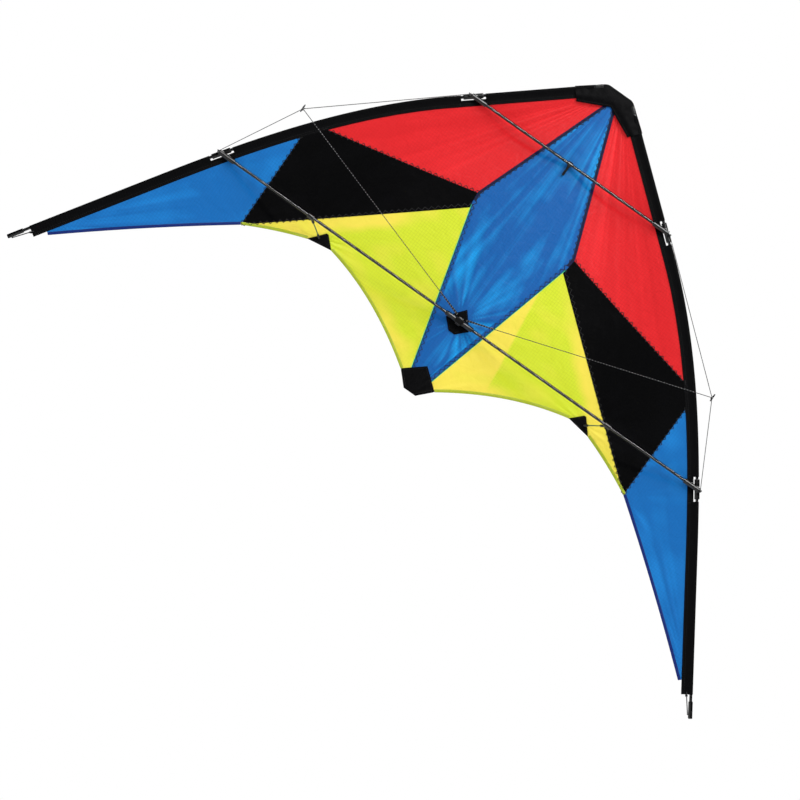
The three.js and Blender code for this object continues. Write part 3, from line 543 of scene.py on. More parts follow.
def ripstop(name, base, light, painted_light_bands=(), shine=0.22):
    """Ripstop nylon, coated and calendered: a fine plain weave with a raised grid of thicker threads,
    a dull sheen, and brighter cloth on the creases where the light comes through."""
    pitch = bpy.context.scene.kite_sizes.ripstop
    material, tree = new_material(name)
    cut = add(tree, "UVMap", {}, uv_map="Cut")
    crease = add(tree, "Attribute", {}, "Fac", attribute_name="crease")
    clouds = {"Vector": cut, "Scale": CLOUDS, "Detail": 3.0}
    cloudy = add(tree, "TexNoise", clouds, "Fac")
    # painted highlight: the cloth is mixed towards its lighter sheen colour on the crease ridges and in soft
    # clouds
    lit = add(tree, "Math", {0: crease, 1: cloudy}, operation="ADD")
    lit = add(tree, "MapRange", {"Value": lit, "From Min": 0.42, "From Max": 1.05})
    shade = add(tree, "Mix", {0: lit, 6: rgba(base), 7: rgba(light)}, 2, data_type="RGBA")
    squares = {
        "Vector": cut, "Scale": 1.0, "Mortar Size": pitch * 0.085, "Mortar Smooth": 0.6,
        "Brick Width": pitch, "Row Height": pitch, "Bias": 0.0,
    }
    grid = add(tree, "TexBrick", squares, "Fac", offset=0.0, squash=1.0)
    dark = add(tree, "Math", {0: grid, 1: 0.3}, operation="MULTIPLY")
    shade = add(tree, "Mix", {0: dark, 6: shade, 7: rgba(base, 0.45)}, 2, data_type="RGBA")
    # painted light: darker bands of painted shade over the laps, and painted sunlight on the yellow cloth
    for attribute, edge, soft, tone in painted_light_bands:
        far = add(tree, "Attribute", {}, "Fac", attribute_name=attribute)
        near = add(tree, "MapRange", {"Value": far, "From Min": edge + soft, "From Max": edge - soft})
        shade = add(tree, "Mix", {0: near, 6: shade, 7: rgba(tone)}, 2, data_type="RGBA")
    # the grid's threads show their own weave, drawn at 1.2 mm, several times its real spacing
    wave = {"Vector": cut, "Scale": bands(1.2 * MM), "Distortion": 0.3}
    warp = add(tree, "TexWave", wave, "Fac", wave_type="BANDS", bands_direction="X")
    weft = add(tree, "TexWave", wave, "Fac", wave_type="BANDS", bands_direction="Y")
    weave = add(tree, "Math", {0: warp, 1: weft}, operation="MULTIPLY")
    height = add(tree, "Math", {0: weave, 1: grid, 2: grid}, operation="MULTIPLY_ADD")
    puckers = {"Vector": cut, "Scale": PUCKERS, "Detail": 4.0, "Distortion": 0.8}
    pucker = add(tree, "TexNoise", puckers, "Fac")
    wrinkled = add(tree, "Bump", {"Height": pucker, "Strength": 0.6, "Distance": 1.6 * MM})
    woven = {"Height": height, "Strength": 0.35, "Distance": 0.12 * MM, "Normal": wrinkled}
    finish(tree, {
        "Base Color": shade,
        "Roughness": add(tree, "MapRange", {"Value": cloudy, "To Min": 0.42, "To Max": 0.6}),
        "Normal": add(tree, "Bump", woven),
        "IOR": 1.53,
        "Specular IOR Level": shine,
    })
    return material


def polyester_tape(name, base):
    """Woven polyester tape: a tight twill with no gloss, and a painted highlight that greys its raised
    threads a little.
    """
    material, tree = new_material(name)
    cut = add(tree, "UVMap", {}, uv_map="Cut")
    # ribs at 1.5 mm, twice their real spacing, so that they show
    ribs = {"Vector": cut, "Scale": bands(1.5 * MM), "Distortion": 1.0, "Detail Scale": 3.0}
    twill = add(tree, "TexWave", ribs, "Fac", wave_type="BANDS", bands_direction="DIAGONAL")
    fuzz = add(tree, "TexNoise", {"Vector": cut, "Scale": FUZZ, "Detail": 4.0}, "Fac")
    height = add(tree, "Math", {0: twill, 1: fuzz}, operation="ADD")
    # painted highlight: the raised threads of the twill are painted paler
    scuffs_and_highlight = add(tree, "MapRange", {"Value": height, "From Min": 0.8, "From Max": 1.7})
    tones = {0: scuffs_and_highlight, 6: rgba(base), 7: rgba(base, 2.5, 0.002)}
    finish(tree, {
        "Base Color": add(tree, "Mix", tones, 2, data_type="RGBA"),
        "Normal": add(tree, "Bump", {"Height": height, "Strength": 0.6, "Distance": 0.25 * MM}),
        "Roughness": 0.6,
        "Specular IOR Level": 0.05,
    })
    return material


def pultruded(name, base, roughness, coat):
    """A pultruded rod, fibres in resin: straight fibre streaks along it under a smooth skin."""
    material, tree = new_material(name)
    cut = add(tree, "UVMap", {}, uv_map="Cut")
    stretched = add(tree, "Mapping", {"Vector": cut, "Scale": (FIBRES, FIBRES * 0.01, 1.0)})
    fibres = add(tree, "TexNoise", {"Vector": stretched, "Scale": 1.0, "Detail": 3.0}, "Fac")
    ends = {"Value": fibres, "To Min": roughness - 0.04, "To Max": roughness + 0.06}
    tones = {0: fibres, 6: rgba(base), 7: rgba(base, 1.8, 0.001)}
    finish(tree, {
        "Base Color": add(tree, "Mix", tones, 2, data_type="RGBA"),
        "Normal": add(tree, "Bump", {"Height": fibres, "Strength": 0.06, "Distance": 0.03 * MM}),
        "Roughness": add(tree, "MapRange", ends),
        "IOR": 1.55,
        "Coat Weight": coat,
        "Coat Roughness": 0.15,
    })
    return material


def moulded_vinyl(name, base):
    """Moulded vinyl: half gloss with a faint orange peel and paler scuffs."""
    material, tree = new_material(name)
    where = add(tree, "TexCoord", {}, "Object")
    peel = add(tree, "TexNoise", {"Vector": where, "Scale": ORANGE_PEEL, "Detail": 3.0}, "Fac")
    scuffs = add(tree, "TexNoise", {"Vector": where, "Scale": SCUFFS, "Detail": 6.0}, "Fac")
    scuffs_and_highlight = add(tree, "MapRange", {"Value": scuffs, "From Min": 0.58, "From Max": 0.72})
    tones = {0: scuffs_and_highlight, 6: rgba(base), 7: rgba(base, 2, 0.004)}
    finish(tree, {
        "Base Color": add(tree, "Mix", tones, 2, data_type="RGBA"),
        "Normal": add(tree, "Bump", {"Height": peel, "Strength": 0.12, "Distance": 0.15 * MM}),
        "Roughness": add(tree, "MapRange", {"Value": scuffs, "To Min": 0.2, "To Max": 0.42}),
        "IOR": 1.53,
    })
    return material


def braided(name, base, fleck, pitch, share):
    """Braided polyester cord: slanting strands, and a tracer thread that comes up as flecks."""
    material, tree = new_material(name)
    cut = add(tree, "UVMap", {}, uv_map="Cut")
    run = add(tree, "SeparateXYZ", {0: cut}, "Y")
    turns = add(tree, "Math", {0: run, 1: pitch}, operation="DIVIDE")
    turns = add(tree, "Math", {0: turns}, operation="FRACT")
    shown = add(tree, "MapRange", {"Value": turns, "From Min": share + 0.08, "From Max": share - 0.08})
    slant = {"Vector": cut, "Scale": bands(1.1 * MM)}
    strands = add(tree, "TexWave", slant, "Fac", wave_type="BANDS", bands_direction="DIAGONAL")
    finish(tree, {
        "Base Color": add(tree, "Mix", {0: shown, 6: rgba(base), 7: rgba(fleck)}, 2, data_type="RGBA"),
        "Normal": add(tree, "Bump", {"Height": strands, "Strength": 0.7, "Distance": 0.15 * MM}),
        "Roughness": 0.75,
    })
    return material


def drawn_aluminium(name, base):
    """Drawn aluminium rod: fine scratches that dull its polish."""
    material, tree = new_material(name)
    where = add(tree, "TexCoord", {}, "Object")
    grain = add(tree, "TexNoise", {"Vector": where, "Scale": SCRATCHES, "Detail": 2.0}, "Fac")
    rough = add(tree, "MapRange", {"Value": grain, "To Min": 0.25, "To Max": 0.45})
    finish(tree, {"Roughness": rough, "Base Color": rgba(base), "Metallic": 1.0})
    return material


def make_materials(context):
    """Makes every finish on the kite, by its own name, before the first piece."""
    if MATERIALS:
        return
    c, sizes = context.scene.kite_colours, context.scene.kite_sizes
    # painted shade: the laps are real, and the centre cloth is painted darker and greener over them, where
    # the doubled cloth lets less light through
    lap_shades = (
        ("lap_red", sizes.lap * 0.6, 0.5 * MM, c.navy),
        ("lap_yellow", sizes.lap, 0.4 * MM, c.lap),
        ("lap_yellow", 2.2 * MM, 0.4 * MM, c.bottle),
        ("lap_yellow", 0.9 * MM, 0.2 * MM, c.mint),
    )
    MATERIALS.update(
        red=ripstop("red ripstop nylon", c.red, c.red_light),
        blue=ripstop("blue ripstop nylon", c.blue, c.blue_light, lap_shades),
        tip=ripstop("tip ripstop nylon", c.tip, c.tip_light),
        yellow=ripstop("yellow ripstop nylon", c.yellow, c.yellow, [("shade", 0.5, 0.5, c.gold)]),
        black=ripstop("black ripstop nylon", c.black, rgba(c.black, 1.8), shine=0.05),
        # painted shade: the rolled hems are real, and their darker colours stand for less light coming
        # through the folded cloth
        yellow_hem=ripstop("rolled yellow hem", c.olive, c.olive),
        tip_hem=ripstop("rolled blue hem", c.tip_hem, c.tip_hem),
        tape=polyester_tape("black polyester tape", c.black),
        thread=braided("polyester sewing thread", linear("#050507"), linear("#101014"), 1.2 * MM, 0.4),
        carbon=pultruded("pultruded carbon rod", c.carbon, 0.13, 0.0),
        glass_fibre=pultruded("pultruded glass-fibre rod", c.glass_fibre, 0.4, 0.2),
        vinyl=moulded_vinyl("moulded black vinyl", c.vinyl),
        alloy=drawn_aluminium("drawn aluminium", linear("#C9CBCE")),
        shock_cord=braided("braided shock cord", linear("#0B0B0D"), linear("#303036"), 2.4 * MM, 0.4),
        line=braided("braided bridle line", c.line_dark, c.line_fleck, 6 * MM, 0.16),
    )


# ---------------------------------------------------------------- sail cloth
def flat_size(outline):
    """The smallest rectangle round a flat cut, and the cut's own area."""
    area = abs(sum(a.x * b.y - b.x * a.y for a, b in zip(outline, outline[1:] + outline[:1]))) / 2
    rectangles = []
    for degrees in range(90):
        turned = [Matrix.Rotation(math.radians(degrees), 2) @ p for p in outline]
        rectangles.append([max(p[i] for p in turned) - min(p[i] for p in turned) for i in (0, 1)])
    return min(rectangles, key=math.prod), area


def sun(x, drop, side):
    """Where low sun comes through the yellow cloth, from 0 to 1."""
    from_seam = distance_to(SEAMS["black_yellow"], Vector((x, drop)))
    from_hem = distance_to(SEAMS["yellow_hem"], Vector((x, drop)))
    along_seam = (1 - smooth(12 * MM, 38 * MM, from_seam)) * smooth(120 * MM, 200 * MM, x)
    outer_corner = smooth(262 * MM, 280 * MM, x)
    along_hem = 0.75 * (1 - smooth(6 * MM, 40 * MM, from_hem)) * (1 - smooth(100 * MM, 170 * MM, x))
    glow = max(along_seam, outer_corner, along_hem)
    if side > 0:
        # a shadow falls across this side's panel, and its edge runs down beside the spine
        shadow_edge = 84 * MM + 0.13 * (drop - 366 * MM)
        glow = max(glow, 1 - smooth(-2 * MM, 2 * MM, x - shadow_edge))
    glow += 0.5 * noise.noise(Vector((x / (50 * MM), drop / (30 * MM), 9.0 + side)))
    return min(max(glow, 0), 1)


def panel(part, first, second, slot, side_name, lift):
    """A panel of the sail between two of its edges, as it is set back and creased by the wind."""
    side = SIDES[side_name]
    sizes = bpy.context.scene.kite_sizes
    breadth = max((a - b).length for a, b in zip(spaced(first, 20), spaced(second, 20)))
    tall = max(int(max(run_of(first), run_of(second)) / sizes.grid), 4)
    cut = ruled(first, second, tall, max(int(breadth / sizes.grid), 4))
    flat = [p for row in cut for p in row]
    # painted values: how high the creases are, how far it is to each lap, and how much shade there is
    values = {key: [1.0] * len(flat) for key in ("lap_red", "lap_yellow", "shade")}
    values["crease"] = [0.9 * creases(p.x, p.y, side) for p in flat]
    if part == "centre":
        values["lap_red"] = [distance_to(SEAMS["centre_red"] + [Vector(DIAMOND_LOWER)], p) for p in flat]
        values["lap_yellow"] = [distance_to(SEAMS["centre_yellow"], p) for p in flat]
    if part == "yellow":
        values["shade"] = [1 - sun(p.x, p.y, side) for p in flat]
    rows = [[on_sail(p.x, p.y, side, lift) for p in row] for row in cut]
    shape = Shape().grid(rows, sizes.cloth, [(p.x, p.y) for p in flat], values)
    finish_name = "blue" if part == "centre" else part
    made = shape.make(f"{side_name}_{part}_cloth", finish_name, slot)
    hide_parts(f"{side_name}_{part}_panel")
    turn_at_spine(made)
    size, area = flat_size(between(first, second, 40))


def make_sail(side_name):
    """The five panels of one wing. The outer ones tuck behind the centre one and under the sleeve."""
    top, upper = SEAMS["centre_red"]
    lower, foot = SEAMS["centre_yellow"]
    tip_foot, tip_top = SEAMS["black_tip"]
    tuck = Vector((-8 * MM, 0))
    nose, red_end, tip_seam = (
        EDGE.at_drop(drop, SEAM_INSET) for drop in (DIAMOND_TOP[1], RED_SEAM_DROP, TIP_SEAM_DROP)
    )
    under_red = EDGE.line(nose, red_end, SEAM_INSET, 60)
    under_tip = EDGE.line(tip_seam, EDGE.sleeve_end - TIP_CLOTH_END, SEAM_INSET, 60)
    black_top = spaced([upper + tuck, SEAMS["red_black"][1]], 60) + [tip_top]
    leech_share = (TAIL_CORNER[1] - 10 * MM - lower.y) / (foot.y - lower.y)
    leech = [lower.lerp(foot, leech_share) + tuck * 0.6, *SEAMS["yellow_hem"]]
    spine = [Vector((0, top.y)), Vector((0, foot.y))]
    panels = (
        ("centre", spine, [top, upper, lower, foot], "blue_ripstop", 0.0),
        ("red", [top + tuck, upper + tuck], under_red, "red_ripstop", -0.5 * MM),
        ("black", black_top, [lower + tuck, tip_foot], "black_ripstop", -0.25 * MM),
        ("yellow", [lower + tuck, tip_foot], leech, "yellow_ripstop", -0.55 * MM),
        ("tip", under_tip, SEAMS["tip_hem"], "blue_ripstop", -0.1 * MM),
    )
    for part, first, second, slot, lift in panels:
        panel(part, first, second, slot, side_name, lift)


def make_hems(side_name):
    """The rolled hems of the trailing edge, raised above the cloth on both faces."""
    side = SIDES[side_name]
    hem = bpy.context.scene.kite_sizes.hem
    overhang = 0.4 * MM
    # shares of the hem's width and lifts in mm: the front inner edge, over the roll, and back behind
    roll = ((1, 0.2), (0.85, 0.55), (0.2, 0.7), (0, 0), (0.2, -0.7), (0.85, -0.55), (1, -0.2))
    for part, slot in (("yellow", "yellow_ripstop"), ("tip", "blue_ripstop")):
        line = SEAMS[part + "_hem"]
        shape = Shape()
        for stretch in [line[:HOLLOW_POINTS], line[HOLLOW_POINTS:]] if part == "yellow" else [line]:
            points = spaced(stretch, int(run_of(stretch) / (4 * MM)))
            rows = []
            for k, p in enumerate(points):
                way = heading(points, k).normalized()
                inward = Vector((way.y, -way.x))
                row = [(p + inward * (hem * share - overhang), lift) for share, lift in roll]
                rows.append([on_sail(max(q.x, 0), q.y, side, lift * MM) for q, lift in row])
            shape.grid(rows, 0.12 * MM)
        made = shape.make(f"{side_name}_{part}_hem", part + "_hem", slot)
        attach(made, side_name + "_wing")


def zigzag(line, wave, swing):
    """Points of a zigzag along a line in (x, drop)."""
    points = spaced(line, max(int(run_of(line) / wave) * 2, 4) + 1)
    result = []
    for k, p in enumerate(points):
        way = heading(points, k).normalized()
        result.append(p + Vector((-way.y, way.x)) * swing * (1 if k % 2 else -1))
    return result


def make_stitching(side_name):
    """The zigzag stitching of the seams, on both faces."""
    side = SIDES[side_name]
    sizes = bpy.context.scene.kite_sizes
    shape = Shape()
    for name, line in SEAMS.items():
        if "hem" in name:
            continue
        # a lap lies on the inner side of the centre panel's seams, and the stitching runs down its middle
        way = (line[-1] - line[0]).normalized()
        shift = Vector((-way.y, way.x)) * sizes.lap * 0.55 if name.startswith("centre") else Vector((0, 0))
        wave = zigzag([p + shift for p in line], sizes.stitch, sizes.lap * 0.3)
        for lift in (0.32 * MM, -0.85 * MM):
            path = [on_sail(max(p.x, 1 * MM), p.y, side, lift) for p in wave]
            shape.rings(path, sizes.thread, 6, flat=0.7)
    made = shape.make(side_name + "_seam_stitching", "thread", "black_webbing", 80)
    turn_at_spine(made)


# ---------------------------------------------------------------- tape work
def tape_section(width, cut_back):
    """(inset, depth) points round the folded tape, cut back to its flat part in a window."""
    turns = [math.pi * k / 13 for k in range(14)]
    if cut_back:
        inner, rise = TAPE_NOTCH, 0.0
        fold = [(TAPE_NOTCH, TAPE_HALF * math.cos(turn + math.pi)) for turn in turns]
    else:
        inner, rise = AXIS_INSET + TAPE_BARREL, (TAPE_BARREL - TAPE_HALF) * 0.55
        turns = [math.pi * 0.3 + turn * 1.4 for turn in turns]
        fold = [(AXIS_INSET + TAPE_BARREL * math.cos(t), -TAPE_BARREL * math.sin(t)) for t in turns]
    front = [(width, -TAPE_HALF)]
    for k in range(1, 5):
        front.append((inner + (width - inner) * (1 - k / 5), -TAPE_HALF - rise * smooth(2, 5.5, k)))
    return front + fold + [(inset, -depth) for inset, depth in reversed(front)]


def make_sleeves(side_name):
    """The leading-edge tape, folded round the rod, with a window at each connector."""
    side = SIDES[side_name]
    width = bpy.context.scene.kite_sizes.sleeve_width
    cuts = [SLEEVE_START]
    for along in (UPPER_ALONG, LOWER_ALONG):
        cuts += [along - WINDOW, along + WINDOW]
    cuts.append(EDGE.sleeve_end)
    shape = Shape()
    rings = []
    for k, (start, end) in enumerate(zip(cuts, cuts[1:])):
        count = max(int((end - start) / (5 * MM)), 2)
        section = tape_section(width, cut_back=k % 2 == 1)
        for i in range(count + 1):
            along = start + (end - start) * i / count
            ripple = 0.12 * MM * math.sin(along * 160)
            wide = len(section)
            rings.append(range(len(shape.points), len(shape.points) + wide))
            for n, (inset, depth) in enumerate(section):
                p = EDGE.point(along, inset)
                swell = 0.18 * noise.noise(Vector((along * 45, inset * 90, side)))
                shape.points.append(place(p.x, depth * (1 + swell) + ripple * (inset / width), p.y, side))
                shape.uvs.append((along, n * 2 * MM))
    for a, b in zip(rings, rings[1:]):
        for n in range(wide):
            m = (n + 1) % wide
            shape.faces.append((a[n], a[m], b[m], b[n]))
    shape.faces += [tuple(rings[0]), tuple(reversed(rings[-1]))]
    made = shape.make(side_name + "_leading_tape", "tape", "black_webbing", 45)
    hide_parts(side_name + "_leading_sleeve")
    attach(made, side_name + "_wing")


def make_sleeve_stitching(side_name):
    """Two rows of lockstitch near the tape's inner edge, and bar tacks beside the windows."""
    side = SIDES[side_name]
    width = bpy.context.scene.kite_sizes.sleeve_width
    shape = Shape()
    pitch = 3.6 * MM
    count = int((EDGE.sleeve_end - SLEEVE_START) / pitch)
    for inset in (width - 2.2 * MM, width - 5.2 * MM):
        for lift in (TAPE_HALF + 0.05 * MM, -TAPE_HALF - 0.05 * MM):
            for k in range(count):
                along = SLEEVE_START + pitch * (k + 0.2)
                ends = [EDGE.point(along + d, inset) for d in (0, pitch * 0.3, pitch * 0.62)]
                shape.rings([place(q.x, -lift, q.y, side) for q in ends], STITCH, 4)
    tack = 0.9 * MM
    for along in (UPPER_ALONG, LOWER_ALONG):
        for beside in (-WINDOW - 2 * MM, WINDOW + 2 * MM):
            points = [EDGE.point(along + beside + (tack if k % 2 else -tack), TAPE_NOTCH + tack * k)
                      for k in range(11)]
            for lift in (TAPE_HALF + 0.08 * MM, -TAPE_HALF - 0.08 * MM):
                shape.rings([place(q.x, -lift, q.y, side) for q in points], 0.25 * MM, 4)
    made = shape.make(side_name + "_tape_stitching", "thread", "black_webbing", 80)
    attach(made, side_name + "_wing")


def patch(part, first, second, side_name, seed):
    """A stitched patch of polyester tape between two edge lines, laid on the sail's front."""
    cut = ruled(first, second, 22, 16)
    outline = between(first, second, 30)
    rows = []
    for row in cut:
        rows.append([])
        for p in row:
            rim = 0.0 if p.x < 2 * MM else distance_to(outline + outline[:1], p)
            sewn = 0.25 * MM * smooth(0, 3 * MM, rim)
            bumpy = 0.3 * MM * noise.noise(Vector((p.x / (12 * MM), p.y / (12 * MM), seed)))
            rows[-1].append(on_sail(max(p.x, 0), p.y, SIDES[side_name], PATCH_LIFT + sewn + bumpy))
    shape = Shape().grid(rows, TAPE_THICKNESS, [(p.x, p.y) for row in cut for p in row])
    made = shape.make(f"{side_name}_{part}_tape", "tape", "black_webbing")
    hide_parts(f"{side_name}_{part}_patch")
    return made


def stitch_patch(part, line, side_name, lift):
    """A row of straight stitches along a line on a patch."""
    shape = Shape()
    points = spaced(line, max(int(run_of(line) / (3 * MM)) * 3, 6))
    for k in range(0, len(points) - 2, 3):
        path = [on_sail(max(p.x, 0), p.y, SIDES[side_name], lift) for p in points[k:k + 3]]
        shape.rings(path, STITCH, 4)
    return shape.make(f"{side_name}_{part}_tape_stitching", "thread", "black_webbing", 80)


def drawn_in(line, middle, share):
    """A line drawn in towards a middle."""
    return [middle + (p - middle) * share for p in line]


def make_patches(side_name):
    """The patch behind the tee, the tail patch and the stand-off patch of one wing."""
    tee_top, tee_foot = Vector((0, SPAR_DROP - 24 * MM)), Vector((0, SPAR_DROP + 23 * MM))
    tee_outer = [tee_top, Vector((24 * MM, SPAR_DROP + 5 * MM)), tee_foot + Vector((6 * MM, 0))]
    tail_top, tail_foot = Vector((0, TAIL_DROP - 53 * MM)), Vector((0, TAIL_DROP))
    tail_outer = [tail_top, Vector(TAIL_CORNER), Vector(DIAMOND_FOOT)]
    jobs = (("tee", [tee_top, tee_foot], tee_outer, 3.0), ("tail", [tail_top, tail_foot], tail_outer, 5.0))
    for part, inner, outer, seed in jobs:
        turn_at_spine(patch(part, inner, outer, side_name, seed))
        middle = Vector((0, (inner[0].y + inner[-1].y) / 2))
        row = drawn_in(spaced(outer, 30), middle, 0.86)
        turn_at_spine(stitch_patch(part, row, side_name, PATCH_LIFT + 0.6 * MM))
    apex = Vector((STANDOFF_FOOT[0] - 7 * MM, STANDOFF_FOOT[1] - 14 * MM))
    blunt = Vector((2 * MM, 0))
    edges = [apex - blunt, Vector(STANDOFF_INNER)], [apex + blunt, Vector(STANDOFF_OUTER)]
    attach(patch("standoff", *edges, side_name, 8.0), side_name + "_wing")
    outline = between(*edges, 30)
    row = drawn_in(outline, sum(outline, Vector((0, 0))) / len(outline), 0.78)
    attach(stitch_patch("standoff", row, side_name, 1.6 * MM), side_name + "_wing")


def make_nose_cover(side_name):
    """The tape cap that is folded over the nose and sewn through, half of it on each wing."""
    side = SIDES[side_name]
    arm, width, apex, top, slack = 56 * MM, 25 * MM, 30 * MM, -1 * MM, 1.8 * MM
    front, back, back_on_arm, flat_depth = 4.3 * MM, 10.9 * MM, 5.2 * MM, 1.5 * MM
    corner_along = (top - EDGE.point(0, -slack).y) / EDGE.way(0).y
    corner = EDGE.point(max(corner_along, 0), -slack)
    outer = [Vector((0, top)), Vector((corner.x - 4 * MM, top)), corner + Vector((1.5 * MM, 2.5 * MM)),
             EDGE.point(arm, -slack)]
    inner = [Vector((0, apex)), EDGE.point(arm, width)]
    steps = 30
    rows, uv = [], []
    for i, (rim, foot) in enumerate(zip(spaced(outer, steps), spaced(inner, steps))):
        share = i / (steps - 1)
        thick_back = back - (back - back_on_arm) * smooth(0.08, 0.45, share)
        row = []
        for j in range(steps):
            # across the front from the sewn edge, round the rim, and down the back
            t = j / (steps - 1)
            reach = 1 - abs(2 * t - 1)
            bulge = math.sqrt(max(1 - ((reach - 0.12) / 0.88) ** 2, 0)) if reach > 0.12 else 1.0
            depth, flat = (thick_back, flat_depth) if t > 0.5 else (-front, -flat_depth)
            centre = (thick_back - front) / 2 * smooth(0.75, 1, reach)
            swollen = centre + (flat + (depth - flat) * smooth(0, 0.35, reach) * bulge - centre) * bulge
            p = foot.lerp(rim, reach)
            crumple = 1.1 * MM * noise.noise(Vector((p.x / (8 * MM), p.y / (8 * MM), 3 + t)))
            row.append(place(max(p.x, 0), swollen + crumple * min(share * 4, 1), p.y, side))
            uv.append((p.x, p.y + t * 50 * MM))
        rows.append(row)
    shape = Shape().grid(rows, TAPE_THICKNESS, uv)
    made = shape.make(side_name + "_nose_tape", "tape", "black_webbing", 60)
    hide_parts(side_name + "_nose_cover")
    turn_at_spine(made)

    # lockstitch along the cover's inner edge, on both faces
    shape = Shape()
    seam = spaced([inner[0].lerp(outer[0], 0.1), inner[1].lerp(outer[-1], 0.1)], 60)
    for lift in (2.75 * MM, -3.6 * MM):
        for k in range(0, len(seam) - 2, 3):
            path = [place(max(q.x, 0), -lift, q.y, side) for q in seam[k:k + 3]]
            shape.rings(path, [0.15 * MM, 0.35 * MM, 0.15 * MM], 5)
    made = shape.make(side_name + "_nose_stitching", "thread", "black_webbing", 80)
    turn_at_spine(made)


# ---------------------------------------------------------------- rods
def tube(name, path, node, body):
    """A carbon rod along a path, in the place of one of the frame's rods."""
    made = Shape().rod(path, ROD_RADIUS, ROD_BORE).make(name, "carbon", "carbon_rod")
    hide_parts(node)
    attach(made, body)


def make_rods():
    """The spine, spreader, spars, leading-edge rods and stand-offs, and the finish of the ferrules."""
    top, end = place(0, SPINE_PLANE, SPINE_TOP_DROP), place(0, SPINE_PLANE, NOSE_Z - SPINE_LOW.z)
    tube("spine_tube", spaced([top, end], 8), "spine_rod", "spine")
    spreader = [place(corner.x, ROD_PLANE, SPREADER_DROP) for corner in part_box("upper_spreader")]
    tube("upper_spreader_tube", spaced(spreader, 8), "upper_spreader", "upper_spreader")
    joint = EDGE.at_drop(SPAR_DROP - 59 * MM, AXIS_INSET)
    runs = {"upper": (10 * MM, joint - 0.15 * MM), "lower": (joint + 0.15 * MM, EDGE.length - 4 * MM)}
    for side_name, side in SIDES.items():
        wing = side_name + "_wing"
        spar = [place(corner.x, ROD_PLANE, SPAR_DROP, side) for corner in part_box("right_lower_spar")]
        tube(side_name + "_lower_spar_tube", spaced(spar, 8), side_name + "_lower_spar", wing)
        for part, (start, stop) in runs.items():
            path = [place(p.x, 0, p.y, side) for p in EDGE.line(start, stop, AXIS_INSET, 60)]
            tube(f"{side_name}_{part}_leading_tube", path, f"{side_name}_{part}_leading_rod", wing)
        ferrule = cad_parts[side_name + "_leading_ferrule"]
        ferrule.data.materials.clear()
        ferrule.data.materials.append(MATERIALS["alloy"])
        hub = place(STANDOFF_X, ROD_PLANE, SPAR_DROP, side)
        cap_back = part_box(side_name + "_standoff_end_cap")[1].y
        foot = place(STANDOFF_FOOT[0], cap_back - SAIL_Y, STANDOFF_FOOT[1], side)
        way = (foot - hub).normalized()
        rod = Shape().rings(spaced([hub + way * 5.3 * MM, foot - way * 2 * MM], 6), 1 * MM, 12)
        made = rod.make(side_name + "_standoff_whisker", "glass_fibre", "green_glass_fibre")
        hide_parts(side_name + "_standoff_rod")
        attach(made, side_name + "_standoff")


def make_fittings():
    """The vinyl mouldings: caps, connectors, keeper, stand-off fittings, tip nocks and the tee."""
    fine, plain, coarse = 0.4 * MM, 0.55 * MM, 0.6 * MM
    jobs = [("spine_nose_cap", fine, "spine"), ("spine_tail_cap", fine, "spine")]
    for side_name in SIDES:
        wing, standoff = side_name + "_wing", side_name + "_standoff"
        jobs += [
            (side_name + "_leading_nose_cap", fine, wing),
            (side_name + "_tip_nock", fine, wing),
            (side_name + "_upper_connector", plain, wing),
            (side_name + "_lower_connector", plain, wing),
            (side_name + "_standoff_fitting", plain, standoff),
            (side_name + "_standoff_end_cap", fine, standoff),
        ]
    jobs.append(("centre_tee", coarse, "spine"))
    for node, voxel, body in jobs:
        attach(moulded(node, voxel), body)
    keeper = moulded("spreader_keeper", 0.5 * MM)
    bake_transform(keeper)


def knot(shape, centre, size, line_radius, seed):
    """An overhand knot: a trefoil of line drawn up tight."""
    turn = Matrix.Rotation(seed, 3, "Z") @ Matrix.Rotation(0.6 + seed, 3, "X")
    path = []
    for t in (2 * math.pi * k / 40 for k in range(40)):
        x, y = math.sin(t) + 2 * math.sin(2 * t), math.cos(t) - 2 * math.cos(2 * t)
        loose = Vector((x, y, -math.sin(3 * t)))
        path.append(centre + turn @ loose * size / 3)
    shape.rings(path, line_radius, 8, loop=True)


def make_tip_cords(side_name):
    """The shock cord that holds each tip: two strands from the sleeve's end to the nock, and its knot."""
    side = SIDES[side_name]
    radius = 0.8 * MM
    shape = Shape()
    start = EDGE.point(EDGE.sleeve_end - 4 * MM, 11 * MM)
    end = EDGE.point(EDGE.length - 1 * MM, AXIS_INSET + 4.6 * MM)
    for depth in (-1.0 * MM, 1.0 * MM):
        path = [place(start.x, depth, start.y, side), place(end.x, depth * 0.9, end.y, side)]
        shape.rings(spaced(path, 8), radius, 10)
    tied = start + EDGE.way(EDGE.length) * 6 * MM
    knot(shape, place(tied.x, 0, tied.y, side), 2.1 * MM, radius, 0.0)
    made = shape.make(side_name + "_tip_shock_cord", "shock_cord", "shock_cord", 60)
    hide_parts(side_name + "_tip_cord")
    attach(made, side_name + "_wing")


